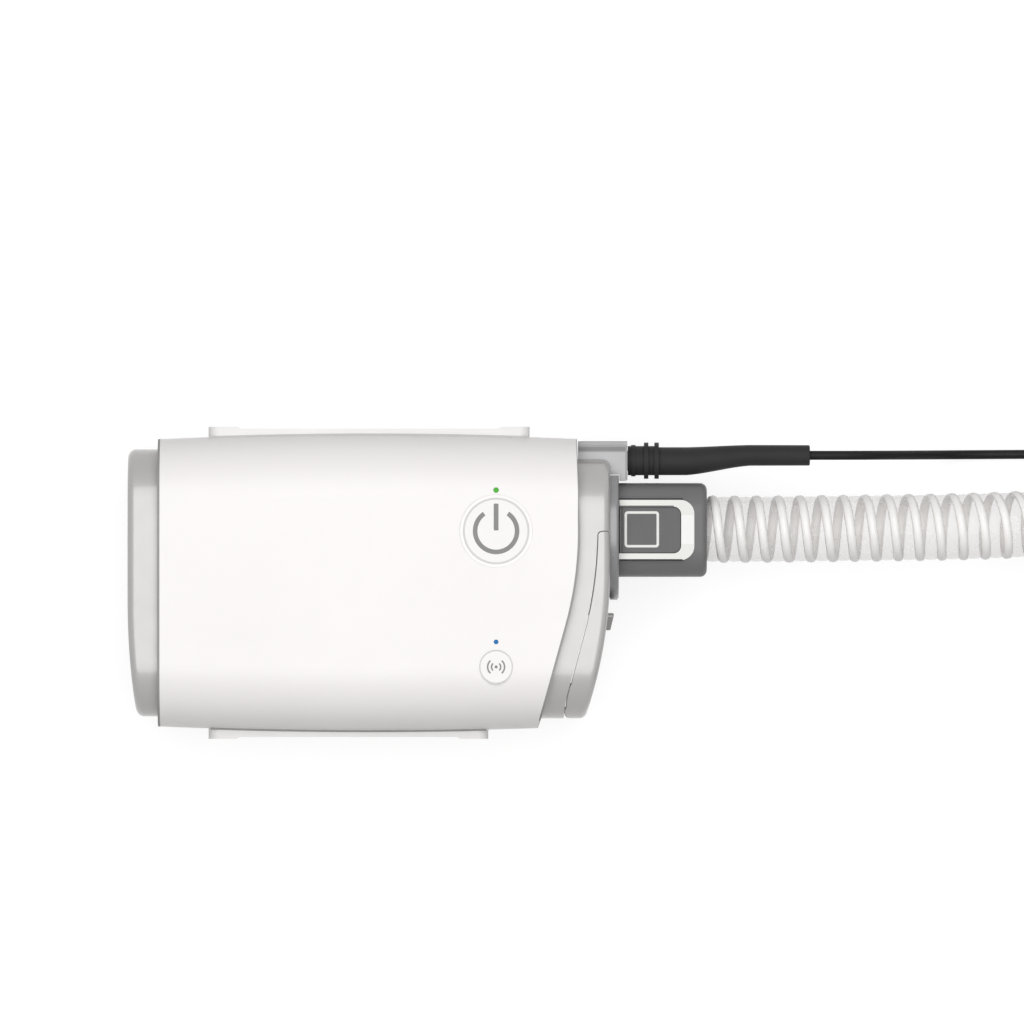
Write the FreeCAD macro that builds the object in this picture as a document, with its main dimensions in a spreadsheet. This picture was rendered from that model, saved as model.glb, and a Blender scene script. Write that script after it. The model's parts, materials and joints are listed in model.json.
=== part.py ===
import FreeCAD, Part
import math
import os

import Sketcher
from FreeCAD import Placement, Rotation, Vector

# A small travel CPAP machine that lies flat, control face up.
# Millimetres, +Z up, +X towards the hose and lead end, origin under the middle of the machine.

SIZES = {
    # the whole machine, and how far its two ends stand out of the sleeve
    "half_long": 68.0,
    "left_reach": 8.75,
    "right_reach": 13.15,
    # outer sleeve: a barrel-shaped shell, open at both ends
    "sleeve_half_wide": 40.45,
    "sleeve_deep": 50.8,
    "sleeve_corner": 18.0,
    "sleeve_wall": 2.0,
    "barrel_side": 1.25,
    "barrel_top": 0.6,
    "crown_radius": 420.0,
    "flank_radius": 160.0,
    "mouth_y": 14.0,
    "mouth_radius": 95.0,
    "mouth_angle": 15.5,
    "mouth_top_angle": 1.9,
    "foot_high": 1.2,
    "foot_radius": 5.0,
    "foot_x": 41.0,
    "foot_y": 22.0,
    # left end cap
    "cap_half_wide": 36.45,
    "cap_half_high": 21.9,
    "cap_corner": 15.3,
    "cap_tongue": 8.6,
    "cap_lip": 0.65,
    "cap_bend_y": 5.0,
    "cap_sweep_radius": 200.0,
    "shell_wall": 2.0,
    "edge_round": 2.2,
    # right end: frame and filter cover are cut from one rounded block
    "face_back": 4.7,
    "end_middle": 1.55,
    "end_half_wide": 35.45,
    "end_half_high": 21.8,
    "end_corner": 15.3,
    "end_depth": 7.0,
    "end_bend_y": 4.0,
    "end_sweep_radius": 125.0,
    "floor_inset": 20.8,
    "floor_thick": 4.0,
    "seam_inset": 3.2,
    "seam_top": 13.9,
    "seam_round": 1.0,
    "seam_radius": 105.0,
    "seam_angle": 14.9,
    "seam_low": 31.0,
    "seam_gap": 0.35,
    "cover_wall": 1.6,
    "slot_count": 6,
    "slot_wide": 1.5,
    "slot_pitch": 3.1,
    "slot_half_high": 11.0,
    "slot_first": 30.6,
    "tab_half_high": 6.0,
    "tab_top": 8.3,
    "tab_long": 4.6,
    "tab_out": 2.25,
    "tab_round": 0.4,
    # hinge of the filter cover
    "pin_inset": 10.6,
    "pin_y": 35.2,
    "pin_radius": 0.75,
    "pin_play": 0.05,
    "knuckle_radius": 1.7,
    "knuckle_half_high": 9.0,
    "inner_knuckle_radius": 1.4,
    "inner_knuckle_half_high": 3.0,
    "hinge_gap": 0.3,
    # air filter behind the cover
    "filter_low": 29.0,
    "filter_top": 7.0,
    "filter_half_high": 14.0,
    "filter_thick": 5.6,
    "filter_play": 0.2,
    "inlet_margin": 3.0,
    # air outlet
    "outlet_y": 14.4,
    "collar_radius": 19.1,
    "collar_bore": 11.0,
    "collar_thick": 2.36,
    "collar_round": 0.9,
    "boss_radius": 18.6,
    "port_long": 15.2,
    "port_radius": 12.1,
    "port_bore": 10.6,
    "port_wall": 2.0,
    "seat_play": 0.1,
    "seal_wide": 1.0,
    "seal_inner": 7.9,
    # socket for the power lead
    "notch_low": 29.3,
    "socket_top": 38.6,
    "socket_half_high": 8.0,
    "socket_back": 0.3,
    "socket_gap": 0.2,
    "socket_round": 1.4,
    "socket_rim": 1.3,
    "socket_rim_half_high": 5.6,
    "nub_low": 27.75,
    "nub_inset": 0.3,
    "nub_long": 1.8,
    "jack_y": 33.3,
    "jack_radius": 3.7,
    "jack_inset": 2.5,
    "jack_room": 1.45,
    "jack_pin_radius": 1.0,
    # side pads
    "pad_out": 42.5,
    "pad_left": 46.1,
    "rear_pad_right": 41.35,
    "front_pad_right": 30.1,
    "pad_bump_long": 7.7,
    "pad_slope_long": 0.9,
    "pad_step_deep": 0.5,
    "pad_half_high": 8.5,
    "pad_round": 3.0,
    # controls
    "button_inset": 35.75,
    "button_y": 14.15,
    "button_radius": 8.85,
    "button_top": 51.2,
    "deck_deep": 6.0,
    "button_travel": 0.7,
    "button_play": 0.2,
    "dish_radius": 10.0,
    "dish_deep": 0.5,
    "flange_wide": 1.1,
    "flange_top": 48.6,
    "flange_high": 0.8,
    "plunger_radius": 1.8,
    "press_gap": 0.1,
    "wireless_y": 22.8,
    "wireless_radius": 4.42,
    "wireless_top": 51.1,
    "wireless_flange_top": 47.3,
    "wireless_travel": 0.5,
    "power_light_above": 11.1,
    "power_light_radius": 0.7,
    "power_light_top": 51.05,
    "wireless_light_above": 6.8,
    "wireless_light_radius": 0.6,
    "wireless_light_top": 51.45,
    "light_play": 0.05,
    # chassis and circuit board
    "tray_bottom": 8.0,
    "tray_top": 10.0,
    "tray_inset_left": 10.25,
    "tray_inset_right": 4.0,
    "tray_half_wide": 27.0,
    "runner_y": 19.0,
    "runner_wide": 2.0,
    "post_radius": 2.5,
    "board_bottom": 41.0,
    "board_thick": 1.6,
    "board_margin": 0.5,
    "switch_half_wide": 3.0,
    "switch_high": 2.6,
    "stem_radius": 1.6,
    "stem_high": 0.6,
    "screw_radius": 0.9,
    "screw_head_radius": 1.9,
    "screw_head_high": 1.4,
    "screw_long": 9.0,
    "radio_left": -24.0,
    "radio_long": 16.0,
    "radio_wide": 14.0,
    "radio_high": 2.6,
    # blower
    "blower_x": -18.0,
    "blower_y": -6.0,
    "blower_bottom": 13.0,
    "blower_top": 38.0,
    "volute_radius": 27.0,
    "volute_wall": 2.0,
    "inlet_radius": 11.0,
    "duct_radius": 9.9,
    "duct_bore": 7.5,
    "mount_radius": 5.0,
    "mount_spread": 19.0,
    "mount_count": 3,
    "shaft_radius": 1.5,
    "shaft_play": 0.03,
    "bearing_radius": 4.0,
    "bearing_high": 2.6,
    "boss_wall": 1.4,
    "stator_radius": 9.4,
    "stator_bottom": 18.2,
    "stator_top": 24.6,
    "rotor_gap": 0.6,
    "rotor_wall": 1.2,
    "rotor_top": 26.8,
    "rotor_bottom": 17.4,
    "wheel_radius": 22.5,
    "wheel_plate": 1.2,
    "blade_count": 11,
    "blade_thick": 0.9,
    "blade_top": 30.0,
    "blade_bend_radius": 14.0,
    "silencer_left": 14.5,
    "silencer_low": 27.5,
    "silencer_top": 3.2,
    "sensor_inset": 18.5,
    "sensor_long": 10.0,
    "sensor_wide": 12.0,
    "sensor_high": 3.4,
    # hose cuff with its squeeze buttons
    "cuff_gap": 0.29,
    "cuff_long": 23.7,
    "cuff_half_wide": 12.8,
    "cuff_half_high": 12.6,
    "cuff_corner": 8.5,
    "cuff_crown": 90.0,
    "cuff_round": 1.8,
    "nose_radius": 10.3,
    "nose_end_gap": 0.3,
    "tongue_inset": 0.65,
    "tongue_long": 15.8,
    "tongue_half_wide": 6.15,
    "tongue_round": 1.9,
    "tongue_top": 12.35,
    "tongue_thick": 0.8,
    "tongue_travel": 0.6,
    "tongue_play": 0.22,
    "stripe_half_wide": 8.2,
    "stripe_long": 20.25,
    "stripe_round": 3.8,
    "stripe_deep": 0.9,
    "stripe_top": 12.72,
    # hose and its far end
    "hose_radius": 9.25,
    "hose_bore": 7.5,
    "hose_y": 14.6,
    "coil_x": 284.0,
    "coil_y": -42.0,
    "coil_radius": 94.0,
    "coil_pitch": 18.7,
    "coil_top_angle": 325.0,
    "coil_start_angle": 190.0,
    "coil_ramp_angle": 47.0,
    "coil_edge": 4.0,
    "coil_joint": 0.05,
    "mask_cuff_radius": 13.2,
    "mask_cuff_bore": 11.0,
    "mask_cuff_long": 38.0,
    "mask_cuff_depth": 24.0,
    "mask_cuff_nose": 11.5,
    "mask_cuff_slope_long": 9.0,
    "mask_cuff_rim": 0.8,
    "mask_cuff_rim_long": 3.0,
    "hose_tie_wide": 12.0,
    "tie_thick": 1.2,
    "tie_gap": 0.35,
    # power lead, its plug and wall adapter
    "plug_gap": 0.15,
    "plug_radius": 4.0,
    "plug_long": 8.45,
    "plug_rib": 4.3,
    "plug_rib_at": 0.9,
    "plug_ring": 4.95,
    "plug_ring_at": 4.4,
    "plug_ring_long": 1.2,
    "barrel_radius": 2.75,
    "barrel_bore": 1.15,
    "barrel_long": 9.2,
    "barrel_play": 0.1,
    "boot_radius": 4.1,
    "boot_tail_radius": 2.78,
    "boot_straight": 8.0,
    "boot_slim": 24.4,
    "boot_long": 41.2,
    "boot_y": 33.15,
    "lead_y": 34.9,
    "lead_radius": 1.25,
    "lead_coil_x": 198.5,
    "lead_coil_y": 57.5,
    "lead_coil_radius": 15.0,
    "lead_coil_wide": 10.0,
    "lead_coil_high": 10.0,
    "lead_tie_wide": 5.0,
    "lead_tie_angle": 130.0,
    "adapter_left": 330.5,
    "adapter_long": 58.0,
    "adapter_low": 57.0,
    "adapter_wide": 24.0,
    "adapter_high": 36.0,
    "adapter_round": 3.0,
    "adapter_edge": 1.5,
    "blade_gap": 12.7,
    "prong_long": 16.0,
    "prong_wide": 6.3,
    "prong_thick": 1.5,
    # how far cutting tools reach past what they cut
    "cut_reach": 60.0,
}

doc = FreeCAD.newDocument("travel_cpap")
sheet = doc.addObject("Spreadsheet::Sheet", "Sizes")
for row, (alias, amount) in enumerate(SIZES.items(), start=1):
    sheet.set(f"A{row}", alias)
    sheet.set(f"B{row}", str(amount))
    sheet.setAlias(f"B{row}", alias)
doc.recompute()


class Size:
    """A length with the sheet formula that drives it and the number it comes to now."""

    def __init__(self, text, number):
        self.text = text
        self.number = number

    def join(self, sign, other, number):
        return Size(f"({self.text} {sign} {text_of(other)})", number)

    def __add__(self, other):
        return self.join("+", other, self.number + number_of(other))

    def __sub__(self, other):
        return self.join("-", other, self.number - number_of(other))

    def __mul__(self, other):
        return self.join("*", other, self.number * number_of(other))

    def __truediv__(self, other):
        return self.join("/", other, self.number / number_of(other))

    def __neg__(self):
        return Size(f"(0 - {self.text})", -self.number)


def text_of(size):
    return size.text if isinstance(size, Size) else str(size)


def number_of(size):
    return size.number if isinstance(size, Size) else size


def sine(angle):
    return Size(f"sin({angle.text})", math.sin(math.radians(angle.number)))


def cosine(angle):
    return Size(f"cos({angle.text})", math.cos(math.radians(angle.number)))


def tangent(angle):
    return Size(f"tan({angle.text})", math.tan(math.radians(angle.number)))


def both_ways(size):
    return (-size, size)


class Sheet:
    """Reads each alias of the spreadsheet as a Size: S.sleeve_wall."""

    def __getattr__(self, alias):
        return Size(f"Sizes.{alias}", float(getattr(sheet, alias)))


S = Sheet()
ZERO = Size("0", 0.0)
FULL_TURN = Size("360", 360.0)
NEAR = 1e-3
pieces = {}

# places that several pieces share
mid_high = S.foot_high + S.sleeve_deep / 2
sleeve_left = S.left_reach - S.half_long
sleeve_right = S.half_long - S.right_reach
barrel_middle = (sleeve_left + sleeve_right) / 2
face_x = S.half_long - S.face_back
floor_x = face_x - S.floor_inset
filter_back = floor_x + S.floor_thick
seam_x = face_x - S.seam_inset
port_start = face_x - S.port_long
socket_start = sleeve_right - S.socket_back
button_x = S.half_long - S.button_inset
tray_left = sleeve_left + S.tray_inset_left
tray_right = floor_x - S.tray_inset_right
sensor_left = tray_right - S.sensor_inset
cuff_start = face_x + S.collar_thick + S.cuff_gap
cuff_end = cuff_start + S.cuff_long
tongue_start = cuff_start + S.tongue_inset
tongue_end = tongue_start + S.tongue_long
stripe_end = cuff_start + S.stripe_long
plug_start = S.half_long + S.plug_gap
plug_end = plug_start + S.plug_long


# ---------------------------------------------------------------- helpers


def bind(item, prop, size):
    """Drive one property of an item from the sheet."""
    if isinstance(size, Size):
        item.setExpression(prop, size.text)
    else:
        setattr(item, prop, size)


def place(item, x=ZERO, y=ZERO, z=ZERO, rotation=Rotation()):
    item.Placement = Placement(Vector(), rotation)
    for letter, size in zip("xyz", (x, y, z)):
        if isinstance(size, Size) and size is not ZERO:
            item.setExpression(f"Placement.Base.{letter}", size.text)


def keep(node, item):
    """Name a finished sub-part: its Label is the name of its file."""
    item.Label = node
    pieces[node] = item
    return item


def box(name, x, y, z):
    """A block between two corners, each of x, y, z a (low, high) pair."""
    item = doc.addObject("Part::Box", name)
    place(item, x[0], y[0], z[0])
    for prop, (low, high) in zip(("Length", "Width", "Height"), (x, y, z)):
        bind(item, prop, high - low)
    return item


TURN_TO = {
    "X": Rotation(Vector(0, 1, 0), 90),
    "Y": Rotation(Vector(1, 0, 0), -90),
    "Z": Rotation(),
}


def rod(name, radius, axis, ends, centre):
    """A cylinder along X, Y or Z between two ends; centre is its place on the other two axes."""
    item = doc.addObject("Part::Cylinder", name)
    spot = list(centre)
    spot.insert("XYZ".index(axis), ends[0])
    place(item, *spot, rotation=TURN_TO[axis])
    bind(item, "Radius", radius)
    bind(item, "Height", ends[1] - ends[0])
    return item


def fuse(name, items):
    item = doc.addObject("Part::MultiFuse", name)
    item.Shapes = items
    return item


def cut(name, base, tools):
    item = doc.addObject("Part::Cut", name)
    item.Base = base
    item.Tool = tools[0] if len(tools) == 1 else fuse(f"{name}_tools", tools)
    return item


def common(name, first, second):
    item = doc.addObject("Part::Common", name)
    item.Base = first
    item.Tool = second
    return item


def new_body(name):
    return doc.addObject("PartDesign::Body", name)


def new_sketch(body, name, role, offset=ZERO):
    """A sketch on one of the body's own planes, moved along that plane's normal."""
    item = body.newObject("Sketcher::SketchObject", f"{body.Name}_{name}")
    plane = next(part for part in body.Origin.OriginFeatures if part.Role == role)
    item.AttachmentSupport = [(plane, "")]
    item.MapMode = "FlatFace"
    if offset is not ZERO:
        item.setExpression("AttachmentOffset.Base.z", offset.text)
    return item


def fix(item, geometry, vertex, x=None, y=None):
    """Hold one vertex of a sketch's geometry at a place given by Sizes."""
    for kind, size in (("DistanceX", x), ("DistanceY", y)):
        if size is not None:
            index = item.addConstraint(
                Sketcher.Constraint(kind, -1, 1, geometry, vertex, number_of(size))
            )
            if isinstance(size, Size) and size is not ZERO:
                item.setExpression(f"Constraints[{index}]", size.text)


def join(item, first, first_end, second, second_end):
    """Make two ends of a sketch's geometry meet."""
    item.addConstraint(Sketcher.Constraint("Coincident", first, first_end, second, second_end))


def set_radius(item, geometry, radius):
    index = item.addConstraint(Sketcher.Constraint("Radius", geometry, number_of(radius)))
    item.setExpression(f"Constraints[{index}]", text_of(radius))


def polygon(item, points):
    """A closed outline of straight lines through the points."""
    spots = [Vector(number_of(x), number_of(y), 0) for x, y in points]
    for index, spot in enumerate(spots):
        item.addGeometry(Part.LineSegment(spot, spots[(index + 1) % len(spots)]), False)
    for index, (x, y) in enumerate(points):
        join(item, (index or len(points)) - 1, 2, index, 1)
        fix(item, index, 1, x, y)


def circle(item, radius, x=ZERO, y=ZERO):
    index = item.addGeometry(
        Part.Circle(Vector(number_of(x), number_of(y), 0), Vector(0, 0, 1), number_of(radius)), False
    )
    fix(item, index, 3, x, y)
    set_radius(item, index, radius)


def arc(item, centre, radius, start, end):
    """An arc from the start angle to the end angle, both in degrees, counterclockwise."""
    ring = Part.Circle(Vector(*centre, 0), Vector(0, 0, 1), radius)
    return item.addGeometry(Part.ArcOfCircle(ring, math.radians(start), math.radians(end)), False)


def oval_section(item, half_wide, half_high, corner, crown, flank, middle=ZERO, high=ZERO):
    """A rounded rectangle with gently crowned sides: eight arcs, each tangent to the next."""
    wide, tall, small = number_of(half_wide), number_of(half_high), number_of(corner)
    big, side = number_of(crown), number_of(flank)
    y, z = number_of(middle), number_of(high)
    # the corner arc's centre lies side - small from the flank's centre, big - small from the crown's
    across, up = wide - side, tall - big
    reach = math.hypot(across, up)
    along = ((side - small) ** 2 - (big - small) ** 2 + reach**2) / (2 * reach)
    off = math.sqrt((side - small) ** 2 - along**2)
    corner_y = across - (along * across + off * up) / reach
    corner_z = (along * up - off * across) / reach
    low = math.degrees(math.atan2(corner_z, corner_y - across))
    top = math.degrees(math.atan2(corner_z - up, corner_y))
    arcs = [
        (across, 0, side, -low, low),
        (corner_y, corner_z, small, low, top),
        (0, up, big, top, 180 - top),
        (-corner_y, corner_z, small, 180 - top, 180 - low),
        (-across, 0, side, 180 - low, 180 + low),
        (-corner_y, -corner_z, small, 180 + low, 180 + top),
        (0, -up, big, 180 + top, 360 - top),
        (corner_y, -corner_z, small, 360 - top, 360 - low),
    ]
    for cy, cz, radius, start, end in arcs:
        arc(item, (y + cy, z + cz), radius, start, end)
    for index in range(8):
        item.addConstraint(Sketcher.Constraint("Tangent", index, 2, (index + 1) % 8, 1))
    for index, size in enumerate((flank, corner, crown, corner) * 2):
        set_radius(item, index, size)
    fix(item, 0, 3, middle + half_wide - flank, high)
    fix(item, 4, 3, middle - half_wide + flank, high)
    fix(item, 2, 3, middle, high + half_high - crown)
    fix(item, 6, 3, middle, high - half_high + crown)


def pad(body, item, length, name="pad"):
    feature = body.newObject("PartDesign::Pad", f"{body.Name}_{name}")
    feature.Profile = item
    bind(feature, "Length", length)
    item.Visibility = False
    return feature


def pocket(body, item, length, name="pocket"):
    """Cut against the sketch plane's normal, so the sketch lies at the top of the cut."""
    feature = body.newObject("PartDesign::Pocket", f"{body.Name}_{name}")
    feature.Profile = item
    bind(feature, "Length", length)
    return feature


def turned(name, axis, points):
    """A body of revolution about X or Z; each point is (place along the axis, radius)."""
    body = new_body(name)
    if axis == "X":
        item = new_sketch(body, "profile", "XY_Plane")
        polygon(item, points)
        spin = "H_Axis"
    else:
        item = new_sketch(body, "profile", "XZ_Plane")
        polygon(item, [(radius, along) for along, radius in points])
        spin = "V_Axis"
    feature = body.newObject("PartDesign::Revolution", f"{name}_turn")
    feature.Profile = item
    feature.ReferenceAxis = (item, [spin])
    feature.Angle = 360
    return body


def round_edges(body, radius, chosen, name="round"):
    """Fillet the edges of the body's newest shape for which chosen(edge) is true."""
    doc.recompute()
    base = body.Tip
    names = [f"Edge{n}" for n, edge in enumerate(base.Shape.Edges, start=1) if chosen(edge)]
    feature = body.newObject("PartDesign::Fillet", f"{body.Name}_{name}")
    feature.Base = (base, names)
    bind(feature, "Radius", radius)
    return feature


def upright(edge):
    """True for a straight edge along Z."""
    if edge.Curve.TypeId != "Part::GeomLine":
        return False
    return abs(abs(edge.tangentAt(edge.FirstParameter).z) - 1) < 1e-6


def prism(name, points, z, rounding=None):
    """An upright prism over a plan outline, its upright edges rounded where a radius is given."""
    body = new_body(name)
    item = new_sketch(body, "plan", "XY_Plane", z[0])
    polygon(item, points)
    pad(body, item, z[1] - z[0])
    if rounding is not None:
        round_edges(body, rounding, upright)
    return body


# ---------------------------------------------------------------- sleeve


def barrel(name, inset):
    """The sleeve's barrel form, moved inwards by inset: three crowned sections in one loft."""
    body = new_body(name)
    sections = []
    for label, station, taper_side, taper_top in (
        ("left", sleeve_left, S.barrel_side, S.barrel_top),
        ("middle", barrel_middle, ZERO, ZERO),
        ("right", sleeve_right, S.barrel_side, S.barrel_top),
    ):
        item = new_sketch(body, label, "YZ_Plane", station)
        oval_section(
            item,
            S.sleeve_half_wide - taper_side - inset,
            S.sleeve_deep / 2 - taper_top - inset,
            S.sleeve_corner - inset,
            S.crown_radius - inset,
            S.flank_radius - inset,
            high=mid_high,
        )
        sections.append(item)
    loft = body.newObject("PartDesign::AdditiveLoft", f"{name}_loft")
    loft.Profile = sections[0]
    loft.Sections = sections[1:]
    loft.Ruled = False
    return body


def bent_region(name, edge, radius, slant, ends, others):
    """A plan region beside an edge that follows an arc and then runs on straight at a slant.

    edge is where the arc runs along Y; ends are the Y places where the whole edge starts and
    stops; others are the remaining corners, from the arc's end round to the slant's end.
    """
    body = new_body(name)
    item = new_sketch(body, "plan", "XY_Plane", -S.cut_reach)
    edge_x, edge_y = edge
    top_y, low_y = ends
    centre_x = edge_x - radius
    rise = math.degrees(math.asin((top_y - edge_y).number / radius.number))
    bend_x = centre_x + radius * cosine(slant)
    bend_y = edge_y - radius * sine(slant)
    low_x = bend_x - (bend_y - low_y) * tangent(slant)
    arc(item, (centre_x.number, edge_y.number), radius.number, -slant.number, rise)
    corners = [(edge_x, top_y), *others, (low_x, low_y), (bend_x, bend_y)]
    spots = [Vector(x.number, y.number, 0) for x, y in corners]
    for first, second in zip(spots, spots[1:]):
        item.addGeometry(Part.LineSegment(first, second), False)
    last = len(corners) - 1
    join(item, 0, 2, 1, 1)
    for index in range(1, last):
        join(item, index, 2, index + 1, 1)
        fix(item, index, 2, *corners[index])
    join(item, last, 2, 0, 1)
    fix(item, 0, 3, centre_x, edge_y)
    set_radius(item, 0, radius)
    fix(item, 0, 2, None, top_y)
    fix(item, 0, 1, None, bend_y)
    pad(body, item, S.cut_reach * 2)
    return body


def mouth_side(name, edge_x, far_x):
    """Everything between a line along the sleeve's slanted right mouth and a place far from it."""
    high_x = edge_x - (S.cut_reach - S.mouth_y) * tangent(S.mouth_top_angle)
    return bent_region(
        name,
        (edge_x, S.mouth_y),
        S.mouth_radius,
        S.mouth_angle,
        (S.mouth_y, -S.cut_reach),
        [(high_x, S.cut_reach), (far_x, S.cut_reach), (far_x, -S.cut_reach)],
    )


barrel_outside = barrel("barrel_outside", ZERO)
barrel_inside = barrel("barrel_inside", S.sleeve_wall)

deck = (S.button_top - S.deck_deep, S.button_top + S.deck_deep)
light_spots = {
    "power_light": (S.button_y + S.power_light_above, S.power_light_radius, S.power_light_top),
    "wireless_light": (
        S.wireless_light_above - S.wireless_y,
        S.wireless_light_radius,
        S.wireless_light_top,
    ),
}
sleeve_holes = [
    rod("button_hole", S.button_radius + S.button_play, "Z", deck, (button_x, S.button_y)),
    rod(
        "button_dish",
        S.dish_radius,
        "Z",
        (S.button_top - S.dish_deep / 2, S.button_top + S.deck_deep),
        (button_x, S.button_y),
    ),
    rod("wireless_hole", S.wireless_radius + S.button_play, "Z", deck, (button_x, -S.wireless_y)),
]
for light, (y, radius, top) in light_spots.items():
    sleeve_holes.append(rod(f"{light}_hole", radius + S.light_play, "Z", deck, (button_x, y)))
beyond_mouth = mouth_side("mouth_cut", sleeve_right, S.half_long + S.cut_reach)
keep("outer_sleeve", cut("sleeve_cut", barrel_outside, [barrel_inside, beyond_mouth, *sleeve_holes]))

feet = [
    rod(
        f"foot_{x_sign}_{y_sign}",
        S.foot_radius,
        "Z",
        (ZERO, S.foot_radius),
        (S.foot_x * x_sign, S.foot_y * y_sign),
    )
    for x_sign in (-1, 1)
    for y_sign in (-1, 1)
]
keep("underside_feet", cut("feet_cut", fuse("feet_raw", feet), [barrel_outside]))


def side_pad(node, side, right):
    """A grip along one long side: two thick ends and a thinner middle, seated on the barrel."""
    root = (S.sleeve_half_wide - S.sleeve_wall * 2) * side
    high = S.pad_out * side
    low = (S.pad_out - S.pad_step_deep) * side
    left = -S.pad_left
    points = [
        (left, root),
        (left, high),
        (left + S.pad_bump_long, high),
        (left + S.pad_bump_long + S.pad_slope_long, low),
        (right - S.pad_bump_long - S.pad_slope_long, low),
        (right - S.pad_bump_long, high),
        (right, high),
        (right, root),
    ]
    body = prism(f"{node}_raw", points, (mid_high - S.pad_half_high, mid_high + S.pad_half_high))

    def across(edge):
        box_of = edge.BoundBox
        ends = (left.number, right.number)
        at_end = min(abs(box_of.XMin - end) for end in ends) < NEAR
        return at_end and box_of.XLength < NEAR and box_of.ZLength < NEAR

    round_edges(body, S.pad_round, across)
    keep(node, cut(f"{node}_cut", body, [barrel_outside]))


side_pad("rear_side_pad", 1, S.rear_pad_right)
side_pad("front_side_pad", -1, S.front_pad_right)


# ---------------------------------------------------------------- end cap, end block


def sweep_trim(body, name, face, bend, sweep, side):
    """Trim an end face to an arc in plan that starts at bend and falls away towards -Y."""
    item = new_sketch(body, name, "XY_Plane", S.cut_reach)
    centre_x = face - sweep * side
    low = -S.cut_reach
    far = face + S.cut_reach * side
    fall = math.degrees(math.asin((bend - low).number / sweep.number))
    if side > 0:
        arc(item, (centre_x.number, bend.number), sweep.number, -fall, 0)
        upper, lower = 2, 1
    else:
        arc(item, (centre_x.number, bend.number), sweep.number, 180, 180 + fall)
        upper, lower = 1, 2
    swept_x = centre_x + sweep * (side * math.cos(math.radians(fall)))
    corners = [(face, bend), (far, bend), (far, low), (swept_x, low)]
    spots = [Vector(x.number, y.number, 0) for x, y in corners]
    for first, second in zip(spots, spots[1:]):
        item.addGeometry(Part.LineSegment(first, second), False)
    join(item, 0, upper, 1, 1)
    join(item, 1, 2, 2, 1)
    join(item, 2, 2, 3, 1)
    join(item, 3, 2, 0, lower)
    fix(item, 0, 3, centre_x, bend)
    set_radius(item, 0, sweep)
    fix(item, 1, 1, None, bend)
    fix(item, 1, 2, far, bend)
    fix(item, 2, 2, far, low)
    fix(item, 3, 2, None, low)
    pocket(body, item, S.cut_reach * 2, name=f"{name}_pocket")


def on_face(face, bend, sweep, side):
    """A test for the edges that bound the end face, both its flat part and its swept part."""
    centre_x = (face - sweep * side).number

    def lies_on(edge):
        for spot in edge.discretize(5):
            if spot.y >= bend.number - NEAR:
                away = abs(spot.x - face.number)
            else:
                away = abs(math.hypot(spot.x - centre_x, spot.y - bend.number) - sweep.number)
            if away > NEAR:
                return False
        return not (upright(edge) and abs(edge.BoundBox.YMin - bend.number) < NEAR)

    return lies_on


def left_cap():
    """The rounded left end, with a tongue that fits inside the sleeve and a hollow behind it."""
    body = new_body("left_cap_body")
    outer = new_sketch(body, "outer", "YZ_Plane", -S.half_long)
    oval_section(
        outer,
        S.cap_half_wide,
        S.cap_half_high,
        S.cap_corner,
        S.crown_radius,
        S.flank_radius,
        high=mid_high,
    )
    pad(body, outer, S.left_reach + S.cap_lip + S.shell_wall, name="outer_pad")
    sweep_trim(body, "sweep", -S.half_long, -S.cap_bend_y, S.cap_sweep_radius, -1)
    round_edges(body, S.edge_round, on_face(-S.half_long, -S.cap_bend_y, S.cap_sweep_radius, -1))
    tongue = new_sketch(body, "tongue", "YZ_Plane", sleeve_left + S.cap_lip)
    slack = S.sleeve_wall + S.light_play
    oval_section(
        tongue,
        S.sleeve_half_wide - S.barrel_side - slack,
        S.sleeve_deep / 2 - S.barrel_top - slack,
        S.sleeve_corner - slack,
        S.crown_radius,
        S.flank_radius,
        high=mid_high,
    )
    pad(body, tongue, S.cap_tongue, name="tongue_pad")
    hollow = new_sketch(body, "hollow", "YZ_Plane", sleeve_left + S.cap_lip + S.cap_tongue)
    oval_section(
        hollow,
        S.cap_half_wide - S.shell_wall,
        S.cap_half_high - S.shell_wall,
        S.cap_corner - S.shell_wall,
        S.crown_radius,
        S.flank_radius,
        high=mid_high,
    )
    deep = S.left_reach + S.cap_lip + S.cap_tongue - S.shell_wall - S.edge_round
    pocket(body, hollow, deep, name="hollow_pocket")
    return body


keep("left_end_cap", left_cap())


def end_block(name, inset):
    """The rounded block at the right end, moved inwards by inset, its face swept back in plan."""
    body = new_body(name)
    start = floor_x - S.end_depth * 2
    item = new_sketch(body, "section", "YZ_Plane", start)
    oval_section(
        item,
        S.end_half_wide - inset,
        S.end_half_high - inset,
        S.end_corner - inset,
        S.crown_radius - inset,
        S.flank_radius - inset,
        middle=-S.end_middle,
        high=mid_high,
    )
    face = face_x - inset
    pad(body, item, face - start)
    sweep_trim(body, "sweep", face, S.end_bend_y, S.end_sweep_radius - inset, 1)
    if inset is ZERO:
        round_edges(body, S.edge_round, on_face(face, S.end_bend_y, S.end_sweep_radius, 1))
    return body


def seam_region(name, gap, low_corners):
    """The plan region right of the cover's seam, its upper corner rounded."""
    far_x = S.half_long + S.cut_reach
    top_y = S.seam_top + gap
    body = bent_region(
        name,
        (seam_x - gap, S.seam_top),
        S.seam_radius - gap,
        S.seam_angle,
        (top_y, -S.seam_low),
        [(far_x, top_y), (far_x, -S.cut_reach), *low_corners],
    )

    def at_top(edge):
        spot = edge.BoundBox
        return upright(edge) and spot.XMin < face_x.number and abs(spot.YMin - top_y.number) < NEAR

    round_edges(body, S.seam_round + gap, at_top)
    return body


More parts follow.
